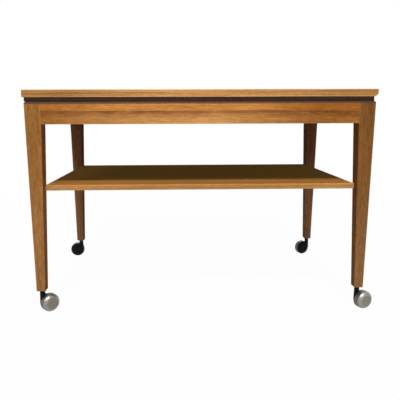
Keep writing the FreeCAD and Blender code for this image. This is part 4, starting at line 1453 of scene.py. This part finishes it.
# ---- Ironmongery --------------------------------------------------------------------------
@dataclass
class Ironmongery:
    """Hinges, stays and every small screw."""

    patterns: Patterns
    brass: Metal = Metal(
        "satin brass", colour=(0.66, 0.47, 0.2), tarnish=(0.3, 0.2, 0.1), roughness=0.34
    )
    steel: Metal = Metal("drawn steel", colour=(0.5, 0.5, 0.5), roughness=0.4)
    zinc: Metal = ZINC
    screw_radius: float = 2.7 * MM
    screw_rise: float = 0.55 * MM
    slot_width: float = 0.8 * MM
    slot_depth: float = 0.7 * MM
    plate: float = 2.0 * MM
    hinge_middles: tuple[float, ...] = (-0.33, 0.0, 0.33)

    # The screw head's dome, as shares of its radius and of its rise.
    screw_dome: Pairs = ((0.0, 1.0), (0.45, 0.9), (0.8, 0.55), (1.0, 0.15))

    # A hinge plate's screws, in millimetres from its middle and from the joint.
    hinge_spots: Pairs = ((-22.0, 8.0), (0.0, 13.5), (22.0, 8.0))

    # The stays' screws: in from the outer ends of the two brackets or guides, then up or in.
    bracket_insets: Pair = (9.0 * MM, 17.0 * MM)
    bracket_rises: Pair = (7.0 * MM, 21.0 * MM)
    guide_insets: Pair = (12.0 * MM, 8.0 * MM)
    guide_depth: float = 9.0 * MM

    # Degrees that a slot is turned: the first one, then what each plate and each screw adds.
    hinge_turns: tuple[float, float, float] = (11.0, 111.0, 37.0)
    bracket_turns: tuple[float, float, float] = (20.0, 53.0, 71.0)
    guide_turns: tuple[float, float, float] = (5.0, 41.0, 67.0)

    @staticmethod
    def slot_turn(turns: tuple[float, float, float], plate: int, screw: int) -> float:
        """How far the slot of one plate's screw is turned, in degrees."""
        return turns[0] + turns[1] * plate + turns[2] * screw

    def screw_head(self) -> Form:
        """A raised countersunk head with its slot, which stands on Z = 0 and faces -Z.

        Returns:
            The head.
        """
        radius, rise = self.screw_radius, self.screw_rise
        outline = [
            *((radius * out, -rise * drop) for out, drop in self.screw_dome),
            (radius, 0.05 * MM),
            (radius * 0.5, 1.2 * MM),
            (0.0, 1.2 * MM),
        ]
        head = turn_profile(outline, SCREW_STEPS)
        upright = Matrix.Rotation(math.pi / 2, 3, "X")
        bmesh.ops.rotate(head, verts=head.verts, cent=NONE, matrix=upright)
        slot = bmesh.new()
        bmesh.ops.create_cube(slot, size=1.0)
        size = (3 * radius, self.slot_width, 2 * self.slot_depth)
        bmesh.ops.scale(slot, verts=slot.verts, vec=size)
        bmesh.ops.translate(slot, verts=slot.verts, vec=(0.0, 0.0, -rise))
        return carved(head, slot)

    def screws(self, name: str, body: str, spots: Sequence[Spot], finish: Metal) -> None:
        """Set a group of screws on a body.

        Args:
            name: The group's object name.
            body: The body that they move with.
            spots: Where each head sits, which way it faces, and its slot's turn in degrees.
            finish: The screws' metal.
        """
        head = self.screw_head()
        group = bmesh.new()
        passing = bpy.data.meshes.new("passing")
        for spot, facing, turn in spots:
            copy = head.copy()
            way = facing.to_track_quat("-Z", "Y").to_matrix().to_4x4()
            move = Matrix.Translation(spot) @ way @ Matrix.Rotation(math.radians(turn), 4, "Z")
            bmesh.ops.transform(copy, matrix=move, verts=copy.verts)
            copy.to_mesh(passing)
            copy.free()
            group.from_mesh(passing)
        head.free()
        bpy.data.meshes.remove(passing)
        piece = finish_mesh(name, group)
        last_spot = spots[-1][0]
        put_on(piece, finish.build(self.patterns, last_spot, UP))
        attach(piece, body)
        LOG.info("%s set on %s", name, body)

    def hinge_screws(self) -> None:
        """Three screws in each plate of the three hinges."""
        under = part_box("top_panel")[0].z
        for node, body in (("hinge_plates_top", "frame"), ("hinge_plates_leaf", "leaf")):
            low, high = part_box(node)
            edge, away = (low.y, 1.0) if body == "frame" else (high.y, -1.0)
            spots = []
            for plate, middle in enumerate(self.hinge_middles):
                for screw, (across, back) in enumerate(self.hinge_spots):
                    spot = Vector((middle + across * MM, edge + away * back * MM, under))
                    spots.append((spot, -UP, self.slot_turn(self.hinge_turns, plate, screw)))
            self.screws(f"hinge_screws_{body}", body, spots, self.brass)

    def stay_screws(self) -> None:
        """Two screws in each stay's bracket on the rear apron, and two in each guide."""
        low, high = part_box("stay_brackets")
        left, right = self.bracket_insets
        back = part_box("apron_rear")[1].y + self.plate
        brackets = []
        for plate, across in enumerate((low.x + left, high.x - right)):
            for screw, rise in enumerate(self.bracket_rises):
                spot = Vector((across, back, low.z + rise))
                brackets.append((spot, REAR, self.slot_turn(self.bracket_turns, plate, screw)))
        self.screws("bracket_screws", "frame", brackets, self.zinc)
        low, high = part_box("stay_guides")
        left, right = self.guide_insets
        guides = []
        for plate, across in enumerate((low.x + left, high.x - right)):
            for screw, depth in enumerate((low.y + self.guide_depth, high.y - self.guide_depth)):
                spot = Vector((across, depth, high.z - self.plate))
                guides.append((spot, -UP, self.slot_turn(self.guide_turns, plate, screw)))
        self.screws("guide_screws", "leaf", guides, self.zinc)

    def build(self) -> None:
        """Dress the hinges and stays, and set the screws."""
        stays = ("left_arm", "right_arm", "left_stud", "right_stud", "brackets", "rivets", "guides")
        for metal, axis, names in (
            (self.brass, RIGHT, ("hinge_plates_top", "hinge_plates_leaf")),
            (self.steel, RIGHT, ("hinge_pins",)),
            (self.zinc, RIGHT, [f"stay_{part}" for part in stays]),
            (self.steel, UP, ("top_screws",)),
        ):
            for node in names:
                put_on(frame["nodes"][node], metal.build(self.patterns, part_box(node)[0], axis))
                LOG.info("%s is %s", node, metal.name)
        self.hinge_screws()
        self.stay_screws()


# ---- Studio -------------------------------------------------------------------------------
@dataclass(frozen=True)
class Lamp:
    """A distant lamp: the way its light goes, how strong it is and how wide it looks."""

    name: str
    way: tuple[float, float, float]
    strength: float
    width_deg: float

    def hang(self) -> None:
        """Put the lamp in the scene."""
        light = bpy.data.lights.new(self.name, "SUN")
        light.energy = self.strength
        light.angle = math.radians(self.width_deg)
        piece = bpy.data.objects.new(self.name, light)
        piece.rotation_euler = Vector(self.way).to_track_quat("-Z", "Y").to_euler()
        bpy.context.scene.collection.objects.link(piece)


@dataclass
class Studio:
    """The floor, the light and the camera."""

    eye: tuple[float, float, float] = (-0.0541, -1.44222, 0.49719)
    pitch_deg: float = -10.768
    yaw_deg: float = 1.302
    roll_deg: float = -0.2
    lens: float = 40.42
    sensor: float = 36.0
    shift: float = 0.027
    nearest: float = 0.05
    ambient: float = 0.21
    lamps: tuple[Lamp, ...] = (
        Lamp("key", way=(0.02, 0.574, -0.819), strength=3.3, width_deg=7.0),
        Lamp("back", way=(0.0, -0.6, -0.8), strength=0.5, width_deg=12.0),
        Lamp("fill", way=(0.5, 0.6, -0.62), strength=0.16, width_deg=4.0),
    )
    floor_half: float = 14.0
    floor_fade: Pair = (0.7, 2.2)
    floor_shine_through: float = 0.975
    floor_colour: Colour = (0.55, 0.55, 0.55)

    def seen(self, tree: Tree) -> Socket:
        """1 for what the camera sees directly, in gloss or through glass, otherwise 0."""
        path = tree.add("LightPath").outputs
        share = tree.math("MAXIMUM", path["Is Camera Ray"], path["Is Glossy Ray"])
        return tree.math("MAXIMUM", share, path["Is Transmission Ray"])

    def sky(self) -> None:
        """White to the eye, and a plain level to everything else."""
        world = bpy.data.worlds.new("studio")
        world.use_nodes = True
        bpy.context.scene.world = world
        tree = Tree(world.node_tree)
        background = world.node_tree.nodes["Background"]
        background.inputs["Color"].default_value = (1.0, 1.0, 1.0, 1.0)
        level = tree.add("MapRange")
        tree.feed(level.inputs["Value"], self.seen(tree))
        level.inputs["To Min"].default_value = self.ambient
        level.inputs["To Max"].default_value = 1.0
        tree.feed(background.inputs["Strength"], level.outputs[0])

    def floor(self) -> None:
        """A pale floor that keeps the trolley's shadow and runs out to white."""
        form = bmesh.new()
        bmesh.ops.create_grid(form, x_segments=1, y_segments=1, size=self.floor_half)
        piece = finish_mesh("floor", form)
        material = bpy.data.materials.new("pale floor")
        material.use_nodes = True
        tree = Tree(material.node_tree)
        for node in list(material.node_tree.nodes):
            material.node_tree.nodes.remove(node)
        matt = tree.add("BsdfDiffuse")
        tree.feed(matt.inputs["Color"], self.floor_colour)
        white = tree.add("Emission")
        out = tree.measure("LENGTH", tree.add("TexCoord").outputs["Object"])
        far = tree.between(out, *self.floor_fade, self.floor_shine_through, 1.0)
        mix = tree.add("MixShader")
        tree.feed(mix.inputs[0], tree.math("MULTIPLY", far, self.seen(tree)))
        material.node_tree.links.new(matt.outputs[0], mix.inputs[1])
        material.node_tree.links.new(white.outputs[0], mix.inputs[2])
        material.node_tree.links.new(mix.outputs[0], tree.add("OutputMaterial").inputs["Surface"])
        put_on(piece, material)

    def camera(self) -> None:
        """The camera in front of the trolley, a little above its shelf."""
        data = bpy.data.cameras.new("camera")
        data.lens = self.lens
        data.sensor_width = self.sensor
        data.clip_start = self.nearest
        data.shift_x = self.shift
        camera = bpy.data.objects.new("camera", data)
        turn = Matrix.Rotation(math.radians(-self.yaw_deg), 4, "Z")
        tilt = Matrix.Rotation(math.radians(90.0 + self.pitch_deg), 4, "X")
        roll = Matrix.Rotation(math.radians(self.roll_deg), 4, "Z")
        camera.matrix_world = Matrix.Translation(self.eye) @ turn @ tilt @ roll
        bpy.context.scene.collection.objects.link(camera)
        bpy.context.scene.camera = camera

    def build(self) -> None:
        """Set up the camera, the light and the floor."""
        bpy.context.scene.view_settings.view_transform = "Standard"
        self.camera()
        self.sky()
        self.floor()
        for lamp in self.lamps:
            lamp.hang()


def main() -> None:
    """Build the studio, then dress the trolley sub-assembly by sub-assembly."""
    logging.basicConfig(level=logging.INFO, format="%(name)s: %(message)s")
    Studio().build()
    patterns = Patterns()
    for assembly in (Woodwork(patterns), Castor(patterns), Ironmongery(patterns)):
        assembly.build()


if __name__ == "__main__":
    main()
